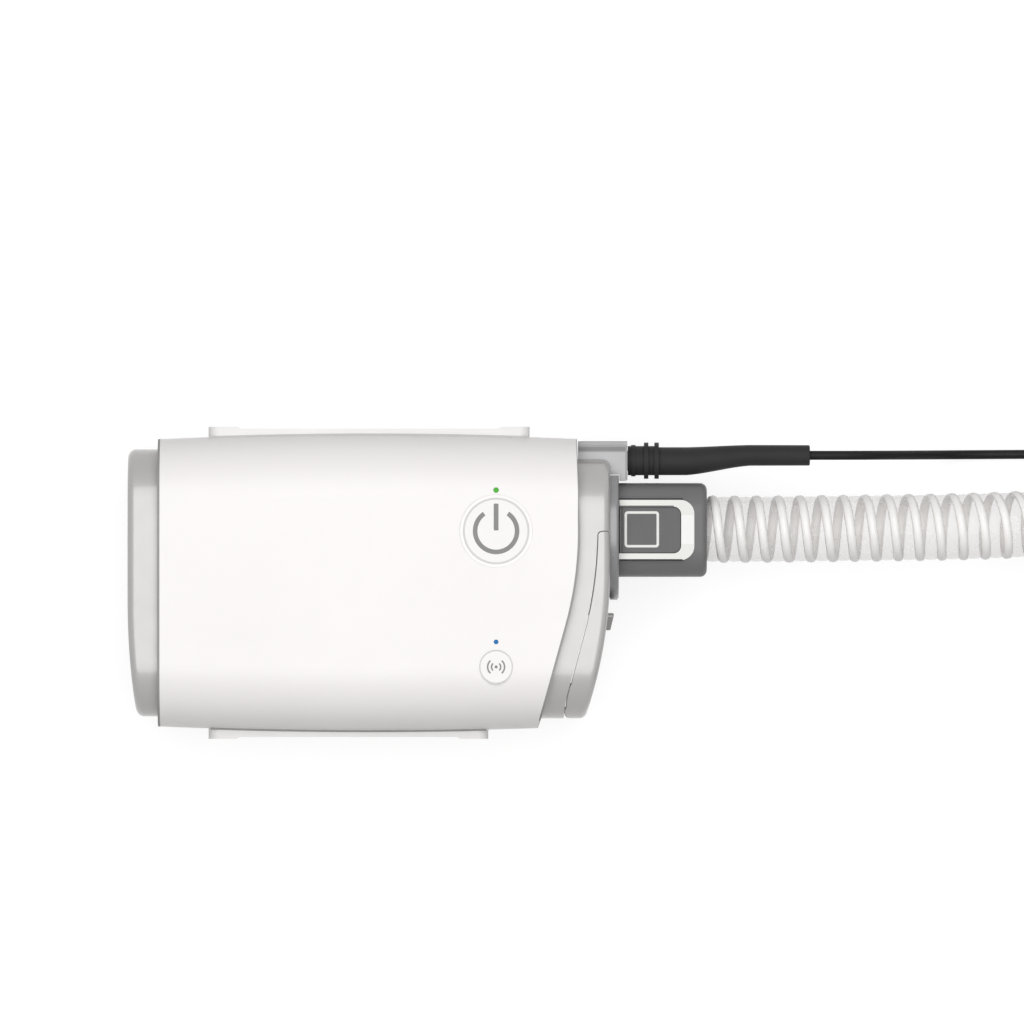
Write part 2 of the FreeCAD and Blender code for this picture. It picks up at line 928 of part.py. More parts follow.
block_outer = end_block("block_outer", ZERO)
block_inner = end_block("block_inner", S.cover_wall)
hinge_x, hinge_y = face_x - S.pin_inset, -S.pin_y
pin_high = (mid_high - S.knuckle_half_high, mid_high + S.knuckle_half_high)
outlet_at = (S.outlet_y, mid_high)


def end_frame():
    """The frame that closes the sleeve's right end and carries cover, filter, outlet and socket."""
    recess_x = hinge_x - S.knuckle_radius - S.hinge_gap
    region = seam_region("frame_region", S.seam_gap, [(recess_x, -S.cut_reach), (recess_x, hinge_y)])
    hollow_body = end_block("frame_hollow", S.shell_wall)
    inside = box(
        "frame_inside",
        (floor_x - S.cut_reach, floor_x),
        both_ways(S.cut_reach),
        both_ways(S.cut_reach),
    )
    inner_side = mouth_side("inner_side", sleeve_right - S.end_depth, floor_x - S.cut_reach)
    shell = cut(
        "frame_shell",
        block_outer,
        [region, common("frame_hollow_part", hollow_body, inside), inner_side],
    )
    bosses = [
        rod("outlet_boss", S.boss_radius, "X", (filter_back, face_x), outlet_at),
        rod(
            "frame_knuckle",
            S.inner_knuckle_radius,
            "Z",
            (mid_high - S.inner_knuckle_half_high, mid_high + S.inner_knuckle_half_high),
            (hinge_x, hinge_y),
        ),
        box(
            "knuckle_web",
            (recess_x - S.shell_wall, hinge_x),
            (hinge_y + S.pin_play, hinge_y + S.inner_knuckle_radius),
            (mid_high - S.inner_knuckle_half_high, mid_high + S.inner_knuckle_half_high),
        ),
    ]
    solid = fuse("frame_fuse", [shell, *bosses])
    filter_z = (mid_high - S.filter_half_high, mid_high + S.filter_half_high)
    inlet_z = (filter_z[0] + S.inlet_margin, filter_z[1] - S.inlet_margin)
    cuts = [
        rod(
            "frame_bore",
            S.port_radius + S.seat_play,
            "X",
            (floor_x - S.cut_reach, S.half_long),
            outlet_at,
        ),
        box(
            "socket_notch",
            (socket_start - S.socket_gap, S.half_long),
            (S.notch_low, S.cut_reach),
            (mid_high - S.socket_half_high - S.socket_gap, mid_high + S.socket_half_high + S.socket_gap),
        ),
        box("filter_pocket", (filter_back, S.half_long), (-S.filter_low, -S.filter_top), filter_z),
        box(
            "inlet_hole",
            (floor_x - S.cut_reach, S.half_long),
            (-S.filter_low + S.inlet_margin, -S.filter_top - S.inlet_margin),
            inlet_z,
        ),
        rod("frame_pin_hole", S.pin_radius + S.pin_play, "Z", pin_high, (hinge_x, hinge_y)),
    ]
    return cut("frame_cut", solid, cuts)


keep("end_frame", end_frame())


def filter_cover():
    """The intake door: a shallow shell with slots and a finger tab, hinged at its lower corner."""
    low_corners = [
        (hinge_x, -S.cut_reach),
        (hinge_x, hinge_y),
        (hinge_x - S.inner_knuckle_radius, hinge_y),
    ]
    region = seam_region("cover_region", ZERO, low_corners)
    shell = common("cover_shell", cut("cover_hollow", block_outer, [block_inner]), region)
    column = rod("cover_column", S.knuckle_radius, "Z", (ZERO, mid_high * 2), (hinge_x, hinge_y))
    knuckle = common("cover_knuckle", column, block_outer)
    tab_points = [
        (face_x - S.tab_out, -S.tab_top),
        (face_x + S.tab_out - S.edge_round / 2, -S.tab_top),
        (face_x + S.tab_out - S.edge_round, -S.tab_top - S.tab_long),
        (face_x - S.tab_out - S.edge_round / 2, -S.tab_top - S.tab_long),
    ]
    tab_high = (mid_high - S.tab_half_high, mid_high + S.tab_half_high)
    tab = prism("finger_tab", tab_points, tab_high, S.tab_round)
    solid = fuse("cover_fuse", [shell, knuckle, tab])
    slots = [
        box(
            f"slot_{number}",
            (filter_back, S.half_long),
            (-S.slot_first + S.slot_pitch * number, -S.slot_first + S.slot_pitch * number + S.slot_wide),
            (mid_high - S.slot_half_high, mid_high + S.slot_half_high),
        )
        for number in range(int(S.slot_count.number))
    ]
    cuts = [
        rod(
            "collar_bite",
            S.collar_radius + S.seam_gap,
            "X",
            (filter_back, S.half_long),
            outlet_at,
        ),
        rod("cover_pin_hole", S.pin_radius + S.pin_play, "Z", pin_high, (hinge_x, hinge_y)),
        rod(
            "knuckle_room",
            S.knuckle_radius + S.hinge_gap / 2,
            "Z",
            (
                mid_high - S.inner_knuckle_half_high - S.hinge_gap,
                mid_high + S.inner_knuckle_half_high + S.hinge_gap,
            ),
            (hinge_x, hinge_y),
        ),
    ]
    return cut("cover_cut", solid, cuts + slots)


keep("filter_cover", filter_cover())
keep("hinge_pin", rod("pin", S.pin_radius, "Z", pin_high, (hinge_x, hinge_y)))
keep(
    "air_filter",
    box(
        "filter_foam",
        (filter_back, filter_back + S.filter_thick),
        (-S.filter_low + S.filter_play, -S.filter_top - S.filter_play),
        (mid_high - S.filter_half_high + S.filter_play, mid_high + S.filter_half_high - S.filter_play),
    ),
)


# ---------------------------------------------------------------- outlet


def outlet_collar():
    body = turned(
        "collar_body",
        "X",
        [
            (face_x, S.collar_bore),
            (face_x, S.collar_radius),
            (face_x + S.collar_thick, S.collar_radius),
            (face_x + S.collar_thick, S.collar_bore),
        ],
    )
    outer_face = (face_x + S.collar_thick).number
    round_edges(body, S.collar_round, lambda edge: edge.BoundBox.XMin > outer_face - NEAR)
    place(body, ZERO, S.outlet_y, mid_high)
    flat = box(
        "collar_flat",
        both_ways(S.half_long),
        (S.notch_low, S.cut_reach),
        both_ways(S.cut_reach),
    )
    return cut("collar_cut", body, [flat])


keep("outlet_collar", outlet_collar())

port_floor = port_start + S.port_wall
port = turned(
    "port_body",
    "X",
    [
        (port_start, S.duct_bore),
        (port_start, S.port_radius),
        (face_x, S.port_radius),
        (face_x, S.port_bore),
        (port_floor, S.port_bore),
        (port_floor, S.duct_bore),
    ],
)
place(port, ZERO, S.outlet_y, mid_high)
keep("outlet_port", port)
seal = turned(
    "seal_body",
    "X",
    [
        (port_floor, S.seal_inner),
        (port_floor, S.port_bore),
        (port_floor + S.seal_wide, S.port_bore),
        (port_floor + S.seal_wide, S.seal_inner),
    ],
)
place(seal, ZERO, S.outlet_y, mid_high)
keep("outlet_seal", seal)


# ---------------------------------------------------------------- power socket


jack_start = socket_start + S.jack_room
jack_end = S.half_long - S.jack_inset


def socket_housing():
    """The block that holds the jack beside the outlet, with a nub and a lower rim outside."""
    low = S.notch_low + S.socket_gap
    nub_end = S.half_long - S.nub_inset
    nub_start = nub_end - S.nub_long
    shoulder = S.socket_top - S.socket_rim
    points = [
        (socket_start, low),
        (nub_start, low),
        (nub_start, S.nub_low),
        (nub_end, S.nub_low),
        (nub_end, low),
        (S.half_long, low),
        (S.half_long, shoulder),
        (socket_start, shoulder),
    ]
    body = prism("socket_block", points, (mid_high - S.socket_half_high, mid_high + S.socket_half_high))

    def on_far_side(edge):
        return edge.BoundBox.YMin > shoulder.number - NEAR and not upright(edge)

    round_edges(body, S.socket_round, on_far_side)
    rim = box(
        "socket_rim",
        (socket_start, S.half_long),
        (shoulder - S.socket_round, S.socket_top),
        (mid_high - S.socket_rim_half_high, mid_high + S.socket_rim_half_high),
    )
    jack_at = (S.jack_y, mid_high)
    way = S.barrel_radius + S.barrel_play
    holes = [
        rod("jack_room", S.jack_radius, "X", (sleeve_right, jack_end), jack_at),
        rod("plug_way", way, "X", (jack_start, S.half_long + S.cut_reach), jack_at),
    ]
    return cut("socket_cut", fuse("socket_fuse", [body, rim]), holes)


keep("socket_housing", socket_housing())

jack = turned(
    "jack_body",
    "X",
    [
        (jack_start, ZERO),
        (jack_start, S.jack_radius),
        (jack_end, S.jack_radius),
        (jack_end, S.barrel_radius + S.barrel_play),
        (jack_start + S.shell_wall, S.barrel_radius + S.barrel_play),
        (jack_start + S.shell_wall, S.jack_pin_radius),
        (jack_end - S.shell_wall, S.jack_pin_radius),
        (jack_end - S.shell_wall, ZERO),
    ],
)
place(jack, ZERO, S.jack_y, mid_high)
keep("dc_jack", jack)


# ---------------------------------------------------------------- controls


def push_button(node, radius, top, flange_top, travel, y):
    """A cap with a retaining flange under the sleeve and a plunger over its switch."""
    stem_top = board_top + S.switch_high + S.stem_high
    body = turned(
        f"{node}_body",
        "Z",
        [
            (stem_top + travel + S.press_gap, ZERO),
            (stem_top + travel + S.press_gap, S.plunger_radius),
            (flange_top - S.flange_high, S.plunger_radius),
            (flange_top - S.flange_high, radius + S.flange_wide),
            (flange_top, radius + S.flange_wide),
            (flange_top, radius),
            (top, radius),
            (top, ZERO),
        ],
    )
    round_edges(
        body,
        S.button_play,
        lambda edge: edge.BoundBox.ZMin > top.number - NEAR and edge.BoundBox.XLength > radius.number,
    )
    place(body, button_x, y)
    keep(node, body)


board_top = S.board_bottom + S.board_thick
plate_half_wide = S.tray_half_wide + S.shell_wall * 2
board_half_wide = plate_half_wide + S.board_margin
push_button(
    "power_button",
    S.button_radius,
    S.button_top,
    S.flange_top,
    S.button_travel,
    S.button_y,
)
push_button(
    "wireless_button",
    S.wireless_radius,
    S.wireless_top,
    S.wireless_flange_top,
    S.wireless_travel,
    -S.wireless_y,
)
for light, (y, radius, top) in light_spots.items():
    keep(light, rod(f"{light}_pipe", radius, "Z", (board_top, top), (button_x, y)))


# ---------------------------------------------------------------- chassis and board

post_spots = [
    (tray_left + S.post_radius, S.tray_half_wide - S.post_radius),
    (tray_left + S.post_radius, -S.tray_half_wide + S.post_radius),
    (tray_right - S.post_radius, S.tray_half_wide + S.shell_wall),
    (S.silencer_left - S.post_radius - S.shell_wall, -S.tray_half_wide - S.shell_wall),
]


def chassis_tray():
    """A plate on two runners along the sleeve's floor, with a post for each board screw."""
    plate = box(
        "tray_plate",
        (tray_left, tray_right),
        both_ways(plate_half_wide),
        (S.tray_bottom, S.tray_top),
    )
    runners = [
        box(
            f"runner_{side}",
            (tray_left, tray_right),
            (S.runner_y * side - S.runner_wide / 2, S.runner_y * side + S.runner_wide / 2),
            (S.foot_high, S.tray_bottom),
        )
        for side in (-1, 1)
    ]
    posts = [
        rod(f"post_{number}", S.post_radius, "Z", (S.tray_bottom, S.board_bottom), spot)
        for number, spot in enumerate(post_spots)
    ]
    holes = [
        rod(
            f"post_hole_{number}",
            S.screw_radius,
            "Z",
            (board_top - S.screw_long, board_top),
            spot,
        )
        for number, spot in enumerate(post_spots)
    ]
    raw = cut("tray_drilled", fuse("tray_raw", [plate, *runners, *posts]), holes)
    return common("tray_trimmed", raw, barrel_inside)


keep("chassis_tray", chassis_tray())

board = box(
    "board_plate",
    (tray_left, tray_right),
    both_ways(board_half_wide),
    (S.board_bottom, board_top),
)
board_holes = [
    rod(
        f"board_hole_{number}",
        S.screw_radius + S.seat_play,
        "Z",
        (S.tray_top, S.button_top),
        spot,
    )
    for number, spot in enumerate(post_spots)
]
keep("circuit_board", cut("board_cut", board, board_holes))

screws = []
for number, spot in enumerate(post_spots):
    head = rod(
        f"screw_head_{number}",
        S.screw_head_radius,
        "Z",
        (board_top, board_top + S.screw_head_high),
        spot,
    )
    shank = rod(
        f"screw_shank_{number}",
        S.screw_radius,
        "Z",
        (board_top - S.screw_long, board_top),
        spot,
    )
    screws.append(fuse(f"screw_{number}", [head, shank]))
keep("chassis_screws", fuse("screw_group", screws))

switches = []
for name, y in (("power", S.button_y), ("wireless", -S.wireless_y)):
    case = box(
        f"{name}_switch_case",
        (button_x - S.switch_half_wide, button_x + S.switch_half_wide),
        (y - S.switch_half_wide, y + S.switch_half_wide),
        (board_top, board_top + S.switch_high),
    )
    stem = rod(
        f"{name}_switch_stem",
        S.stem_radius,
        "Z",
        (board_top, board_top + S.switch_high + S.stem_high),
        (button_x, y),
    )
    switches.append(fuse(f"{name}_switch", [case, stem]))
keep("button_switches", fuse("switch_group", switches))

keep(
    "radio_module",
    box(
        "radio_can",
        (S.radio_left, S.radio_left + S.radio_long),
        (-board_half_wide + S.shell_wall, -board_half_wide + S.shell_wall + S.radio_wide),
        (board_top, board_top + S.radio_high),
    ),
)


# ---------------------------------------------------------------- blower

blower_at = (S.blower_x, S.blower_y)
volute_bore = rod("volute_bore", S.duct_bore, "X", (S.blower_x, port_start), outlet_at)


def blower_base():
    bottom, wall = S.blower_bottom, S.volute_wall
    cup = turned(
        "base_cup",
        "Z",
        [
            (bottom, ZERO),
            (bottom, S.volute_radius),
            (mid_high, S.volute_radius),
            (mid_high, S.volute_radius - wall),
            (bottom + wall, S.volute_radius - wall),
            (bottom + wall, S.bearing_radius + S.boss_wall),
            (S.stator_bottom, S.bearing_radius + S.boss_wall),
            (S.stator_bottom, S.bearing_radius),
            (S.stator_bottom - S.bearing_high, S.bearing_radius),
            (S.stator_bottom - S.bearing_high, ZERO),
        ],
    )
    place(cup, *blower_at)
    return cut("base_cut", cup, [volute_bore])


def blower_cover():
    wall, top = S.volute_wall, S.blower_top
    lid = turned(
        "cover_lid",
        "Z",
        [
            (mid_high, S.volute_radius - wall),
            (mid_high, S.volute_radius),
            (top, S.volute_radius),
            (top, S.inlet_radius),
            (top - wall, S.inlet_radius),
            (top - wall, S.volute_radius - wall),
        ],
    )
    place(lid, *blower_at)
    return cut("lid_cut", lid, [volute_bore])


keep("blower_base", blower_base())
keep("blower_cover", blower_cover())

bearing_spans = [
    (S.stator_bottom - S.bearing_high, S.stator_bottom),
    (S.stator_top - S.bearing_high, S.stator_top),
]
bearings = []
for number, span in enumerate(bearing_spans):
    outer = rod(f"bearing_{number}_outer", S.bearing_radius, "Z", span, blower_at)
    bore = rod(f"bearing_{number}_bore", S.shaft_radius + S.shaft_play, "Z", span, blower_at)
    bearings.append(cut(f"bearing_{number}", outer, [bore]))
keep("motor_bearings", fuse("bearing_group", bearings))

stator_body = rod("stator_core", S.stator_radius, "Z", (S.stator_bottom, S.stator_top), blower_at)
stator_bore = rod("stator_bore", S.bearing_radius, "Z", (S.stator_bottom, S.stator_top), blower_at)
keep("motor_stator", cut("stator_cut", stator_body, [stator_bore]))

shaft = rod(
    "shaft_rod",
    S.shaft_radius,
    "Z",
    (S.stator_bottom - S.bearing_high + S.rotor_gap / 2, S.rotor_top),
    blower_at,
)
keep("motor_shaft", shaft)


def blade_outline(item, root, tip):
    """Two arcs with one centre, beside the root: they start outwards and sweep back to the tip."""
    middle = math.hypot(root.number, S.blade_bend_radius.number)
    towards = math.degrees(math.atan2(S.blade_bend_radius.number, root.number))
    for index, side in enumerate((1, -1)):
        radius = S.blade_bend_radius + S.blade_thick / 2 * side
        share = (tip.number**2 - middle**2 - radius.number**2) / (2 * middle * radius.number)
        end = towards - math.degrees(math.acos(share))
        arc(item, (root.number, S.blade_bend_radius.number), radius.number, -90, end)
        set_radius(item, index, radius)
        fix(item, index, 3, root, S.blade_bend_radius)
        fix(item, index, 1, root)
    reach = item.addGeometry(Part.Circle(Vector(), Vector(0, 0, 1), tip.number), True)
    fix(item, reach, 3, ZERO, ZERO)
    set_radius(item, reach, tip)
    for index in range(2):
        item.addConstraint(Sketcher.Constraint("PointOnObject", index, 2, reach))
    for end in (1, 2):
        line = Part.LineSegment(item.getPoint(0, end), item.getPoint(1, end))
        item.addGeometry(line, False)
        join(item, reach + end, 1, 0, end)
        join(item, reach + end, 2, 1, end)


def impeller():
    """A cup that turns over the stator, with a disc and backswept blades round it."""
    inner = S.stator_radius + S.rotor_gap
    outer = inner + S.rotor_wall
    plate_top = S.rotor_bottom + S.wheel_plate
    body = turned(
        "impeller_body",
        "Z",
        [
            (S.stator_top + S.rotor_gap, S.shaft_radius),
            (S.stator_top + S.rotor_gap, inner),
            (S.rotor_bottom, inner),
            (S.rotor_bottom, S.wheel_radius),
            (plate_top, S.wheel_radius),
            (plate_top, outer),
            (S.rotor_top, outer),
            (S.rotor_top, S.shaft_radius),
        ],
    )
    item = new_sketch(body, "blade", "XY_Plane", plate_top - S.wheel_plate / 2)
    blade_outline(item, outer - S.rotor_wall / 2, S.wheel_radius - S.blade_thick)
    blade = pad(body, item, S.blade_top - plate_top + S.wheel_plate / 2, name="blade_pad")
    pattern = body.newObject("PartDesign::PolarPattern", "impeller_blades")
    pattern.Originals = [blade]
    pattern.Axis = (item, ["N_Axis"])
    pattern.Angle = 360
    bind(pattern, "Occurrences", S.blade_count)
    body.Tip = pattern
    place(body, *blower_at)
    return body


keep("impeller", impeller())

mounts = []
for number in range(int(S.mount_count.number)):
    around = FULL_TURN / S.mount_count * number
    spot = (
        S.blower_x + S.mount_spread * cosine(around),
        S.blower_y + S.mount_spread * sine(around),
    )
    mounts.append(rod(f"mount_{number}", S.mount_radius, "Z", (S.tray_top, S.blower_bottom), spot))
keep("blower_mounts", fuse("mount_group", mounts))

duct_outer = rod("duct_outer", S.duct_radius, "X", (S.blower_x, port_start), outlet_at)
duct_inner = rod("duct_inner", S.duct_bore, "X", (S.blower_x, port_start), outlet_at)
duct_seat = rod("duct_seat", S.volute_radius, "Z", (ZERO, mid_high * 2), blower_at)
keep("outlet_duct", cut("duct_cut", duct_outer, [duct_inner, duct_seat]))

keep(
    "intake_silencer",
    box(
        "silencer_foam",
        (S.silencer_left, tray_right),
        (-S.silencer_low, S.silencer_top),
        (S.tray_top, S.blower_top),
    ),
)
keep(
    "flow_sensor",
    box(
        "sensor_block",
        (sensor_left, sensor_left + S.sensor_long),
        (S.outlet_y - S.sensor_wide / 2, S.outlet_y + S.sensor_wide / 2),
        (mid_high + S.duct_radius, mid_high + S.duct_radius + S.sensor_high),
    ),
)


# ---------------------------------------------------------------- hose cuff


def tongue_plan(grow):
    """The squeeze button's outline in plan, grown by a clearance."""
    y = S.outlet_y
    wide = S.tongue_half_wide + grow
    return [
        (tongue_start - grow, y - wide),
        (tongue_end + grow, y - wide),
        (tongue_end + grow, y + wide),
        (tongue_start - grow, y + wide),
    ]


def far_corner(limit):
    """A test for the upright edges at the hose end of an outline."""
    return lambda edge: upright(edge) and edge.BoundBox.XMin > limit.number - NEAR


def stripe_plan():
    """The U's outline in plan, open towards the machine."""
    y = S.outlet_y
    outer, inner = S.stripe_half_wide, S.tongue_half_wide + S.tongue_play
    start, turn = cuff_start, tongue_end + S.tongue_play
    return [
        (start, y - outer),
        (stripe_end, y - outer),
        (stripe_end, y + outer),
        (start, y + outer),
        (start, y + inner),
        (turn, y + inner),
        (turn, y - inner),
        (start, y - inner),
    ]


def span(side, low, high):
    """A span of heights above (side 1) or below (side -1) the hose axis."""
    if side > 0:
        return (mid_high + low, mid_high + high)
    return (mid_high - high, mid_high - low)


def hose_cuff():
    """The hose's connector: a crowned sleeve with a nose that enters the outlet."""
    body = new_body("cuff_body")
    item = new_sketch(body, "section", "YZ_Plane", cuff_start)
    oval_section(
        item,
        S.cuff_half_wide,
        S.cuff_half_high,
        S.cuff_corner,
        S.cuff_crown,
        S.cuff_crown,
        middle=S.outlet_y,
        high=mid_high,
    )
    pad(body, item, S.cuff_long)
    round_edges(body, S.cuff_round, lambda edge: edge.BoundBox.XMin > cuff_end.number - NEAR)
    nose_start = port_floor + S.seal_wide + S.nose_end_gap
    nose = rod("cuff_nose", S.nose_radius, "X", (nose_start, cuff_start + S.cuff_round), outlet_at)
    cuts = [rod("cuff_bore", S.hose_bore, "X", (ZERO, cuff_end + S.cut_reach), outlet_at)]
    floor = S.tongue_top - S.tongue_thick - S.tongue_travel - S.press_gap
    for side in (-1, 1):
        room = prism(f"tongue_room_{side}", tongue_plan(S.tongue_play), span(side, floor, S.cut_reach))
        round_edges(room, S.tongue_round + S.tongue_play, far_corner(tongue_end))
        cuts.append(room)
        cuts.append(cuff_stripe(f"stripe_room_{side}", side, S.cut_reach))
    return cut("cuff_cut", fuse("cuff_fuse", [body, nose]), cuts)


def cuff_stripe(name, side, top):
    """The raised U round the squeeze button."""
    body = prism(name, stripe_plan(), span(side, S.stripe_top - S.stripe_deep, top))
    round_edges(body, S.stripe_round, far_corner(stripe_end))
    turn = (tongue_end + S.tongue_play).number

    def inside_turn(edge):
        return upright(edge) and abs(edge.BoundBox.XMin - turn) < NEAR

    round_edges(body, S.tongue_round + S.tongue_play, inside_turn, name="inner_round")
    return body


keep("hose_cuff", hose_cuff())
keep(
    "cuff_stripe",
    fuse(
        "stripe_pair",
        [cuff_stripe(f"stripe_{side}", side, S.stripe_top) for side in (-1, 1)],
    ),
)
for node, side in (("release_button_top", 1), ("release_button_bottom", -1)):
    heights = span(side, S.tongue_top - S.tongue_thick, S.tongue_top)
    tongue = prism(f"{node}_body", tongue_plan(ZERO), heights)
    round_edges(tongue, S.tongue_round, far_corner(tongue_end))
    keep(node, tongue)


# ---------------------------------------------------------------- free hose and lead


def route(points):
    """A wire of straight runs joined by tangent arcs, each as large as its two runs allow."""
    share = 0.45
    spots = [Vector(*point) for point in points]
    edges, radii = [], []
    start = spots[0]
    for before, corner, after in zip(spots, spots[1:], spots[2:]):
        back, ahead = before - corner, after - corner
        reach = share * min(back.Length, ahead.Length)
        radii.append(reach * math.tan(back.getAngle(ahead) / 2))
        back.normalize()
        ahead.normalize()
        first, last = corner + back * reach, corner + ahead * reach
        bisector = back + ahead
        bisector.normalize()
        middle = corner + bisector * (math.hypot(radii[-1], reach) - radii[-1])
        edges.append(Part.LineSegment(start, first).toShape())
        edges.append(Part.Arc(first, middle, last).toShape())
        start = last
    edges.append(Part.LineSegment(start, spots[-1]).toShape())
    return Part.Wire(edges), radii


def cord(name, points, radius, bore=None):
    """A round cord along a route; a hose also has its bore. Its volume is checked."""
    wire, radii = route(points)
    print(f"{name}: length {wire.Length:.1f}, radii", " ".join(f"{value:.0f}" for value in radii))
    heading = Vector(*points[1]) - Vector(*points[0])

    def tube(size):
        ring = Part.Wire(Part.makeCircle(size.number, Vector(*points[0]), heading))
        return wire.makePipeShell([ring], True, True)

    shape = tube(radius)
    area = math.pi * radius.number**2
    if bore:
        shape = shape.cut(tube(bore))
        area -= math.pi * bore.number**2
    volume = area * wire.Length
    if abs(shape.Volume - volume) > volume / 100:
        raise RuntimeError(f"{name}: the tube's volume is wrong")
    item = doc.addObject("Part::Feature", name)
    item.Shape = shape
    item.Placement = Placement()
    return item


hose_high = S.hose_radius.number
axis_high = mid_high.number
hose_points = [
    (cuff_end.number, S.hose_y.number, axis_high),
    (108.0, S.hose_y.number, axis_high),
    (134.0, 15.2, 19.6),
    (161.0, 15.9, 10.6),
    (186.0, 17.0, hose_high),
    (211.0, 23.8, hose_high),
    (233.5, 37.2, hose_high),
    (250.0, 45.0, hose_high),
]
coil_at = (S.coil_x, S.coil_y)
coil_inner = S.coil_radius - S.hose_radius
coil_outer = S.coil_radius + S.hose_radius
coil_high = S.coil_pitch * 2 + S.hose_radius * 2


def ring_section(body, name, inner, outer, low, high, kind, angle):
    """A rectangle turned about the coil's axis; a groove takes its ring out of the body."""
    item = new_sketch(body, name, "XZ_Plane")
    polygon(item, [(inner, low), (outer, low), (outer, high), (inner, high)])
    ring = body.newObject(f"PartDesign::{kind}", f"{name}_ring")
    ring.Profile = item
    ring.ReferenceAxis = (item, ["V_Axis"])
    bind(ring, "Angle", angle)


def hose_coil():
    """The put-away hose: two full turns and most of a third on top, as one solid."""
    body = new_body("coil_body")
    wall = S.hose_radius - S.hose_bore
    two_high = S.coil_pitch * 2
    third_low = two_high - S.coil_joint
    ring_section(body, "two_turns", coil_inner, coil_outer, ZERO, two_high, "Revolution", FULL_TURN)
    ring_section(
        body,
        "bore_of_turns",
        coil_inner + wall,
        coil_outer - wall,
        wall,
        two_high - wall,
        "Groove",
        FULL_TURN,
    )
    ring_section(
        body,
        "third_turn",
        coil_inner,
        coil_outer,
        third_low,
        coil_high,
        "Revolution",
        S.coil_top_angle,
    )
    round_edges(
        body,
        S.coil_edge,
        lambda edge: edge.Curve.TypeId == "Part::GeomCircle" and edge.BoundBox.ZMax < NEAR,
    )
    turned_by = S.coil_start_angle.number - S.coil_top_angle.number
    place(body, *coil_at, rotation=Rotation(Vector(0, 0, 1), turned_by))
    # the third turn starts with a ramp, where the hose climbs from the turn below
    half = S.coil_radius * sine(S.coil_ramp_angle / 2)
    above = coil_high + S.hose_radius
    climb = [
        (half, two_high),
        (S.cut_reach, two_high),
        (S.cut_reach, above),
        (-half, above),
        (-half, coil_high),
    ]
    ramp = prism("coil_ramp", climb, both_ways(S.cut_reach))
    along = S.coil_start_angle - S.coil_ramp_angle / 2
    to_side = Rotation(Vector(0, 0, 1), (along + FULL_TURN / 4).number)
    place(
        ramp,
        S.coil_x + S.coil_radius * cosine(along),
        S.coil_y + S.coil_radius * sine(along),
        rotation=to_side * Rotation(Vector(1, 0, 0), (FULL_TURN / 4).number),
    )
    return cut("coil_ramped", body, [ramp])


def tie(node, coil_node, coil, centre, section, across, angle):
    """A closed strap round one place of a coil, which gets a groove for it underneath."""
    inner, outer, high = section
    thick, gap = S.tie_thick, S.tie_gap
    window = box(
        f"{node}_window",
        (inner - gap, outer + gap),
        (-across, across),
        (thick, high + gap),
    )
    block = box(
        f"{node}_block",
        (inner - gap - thick, outer + gap + thick),
        (-across / 2, across / 2),
        (ZERO, high + gap + thick),
    )
    half = across / 2 + S.light_play
    groove_plan = [(inner - gap, -half), (outer + gap, -half), (outer + gap, half), (inner - gap, half)]
    groove = prism(f"{node}_groove", groove_plan, (-thick, thick + S.light_play))
    loop = cut(f"{node}_loop", block, [window])
    for item in (loop, groove):
        place(item, *centre, rotation=Rotation(Vector(0, 0, 1), angle.number))
    keep(node, loop)
    keep(coil_node, cut(f"{coil_node}_cut", coil, [groove]))


tie(
    "hose_tie",
    "hose_coil",
    hose_coil(),
    coil_at,
    (coil_inner, coil_outer, coil_high),
    S.hose_tie_wide,
    ZERO,
)
coil_reach = rod("coil_reach", coil_outer, "Z", both_ways(S.cut_reach), coil_at)
hose_run = cord("hose_run", hose_points, S.hose_radius, S.hose_bore)
keep("hose_tube", cut("hose_tube_cut", hose_run, [coil_reach]))


def mask_cuff():
    """The far end of the hose: a soft cuff with the standard 22 mm bore, lying on the coil."""
    long, deep = S.mask_cuff_long, S.mask_cuff_depth
    rim = S.mask_cuff_radius + S.mask_cuff_rim
    body = turned(
        "mask_cuff_body",
        "X",
        [
            (ZERO, S.hose_bore),
            (ZERO, S.mask_cuff_nose),
            (S.mask_cuff_slope_long, S.mask_cuff_radius),
            (long - S.mask_cuff_rim_long, S.mask_cuff_radius),
            (long - S.mask_cuff_rim_long, rim),
            (long, rim),
            (long, S.mask_cuff_bore),
            (long - deep, S.mask_cuff_bore),
            (long - deep, S.hose_bore),
        ],
    )
    # it leaves the third turn at the turn's clockwise end, in line with it
    angle = S.coil_start_angle - S.coil_top_angle
    place(
        body,
        S.coil_x + S.coil_radius * cosine(angle),
        S.coil_y + S.coil_radius * sine(angle),
        S.coil_pitch * 2 + rim + S.light_play,
        rotation=Rotation(Vector(0, 0, 1), angle.number - FULL_TURN.number / 4),
    )
    return body


keep("mask_cuff", mask_cuff())


# ---------------------------------------------------------------- lead and adapter

barrel_tip = plug_start - S.barrel_long
rib_start = plug_start + S.plug_rib_at
rib_end = rib_start + S.plug_ring_long
ring_start = plug_start + S.plug_ring_at
ring_end = ring_start + S.plug_ring_long
plug = turned(
    "plug_turned",
    "X",
    [
        (barrel_tip, S.barrel_bore),
        (barrel_tip, S.barrel_radius),
        (plug_start, S.barrel_radius),
        (plug_start, S.plug_radius),
        (rib_start, S.plug_radius),
        (rib_start, S.plug_rib),
        (rib_end, S.plug_rib),
        (rib_end, S.plug_radius),
        (ring_start, S.plug_radius),
        (ring_start, S.plug_ring),
        (ring_end, S.plug_ring),
        (ring_end, S.plug_radius),
        (plug_end - S.plug_ring_long, S.plug_radius),
        (plug_end - S.plug_ring_long, S.plug_ring),
        (plug_end, S.plug_ring),
        (plug_end, ZERO),
        (plug_start, ZERO),
        (plug_start, S.barrel_bore),
    ],
)
place(plug, ZERO, S.jack_y, mid_high)
keep("plug_body", plug)
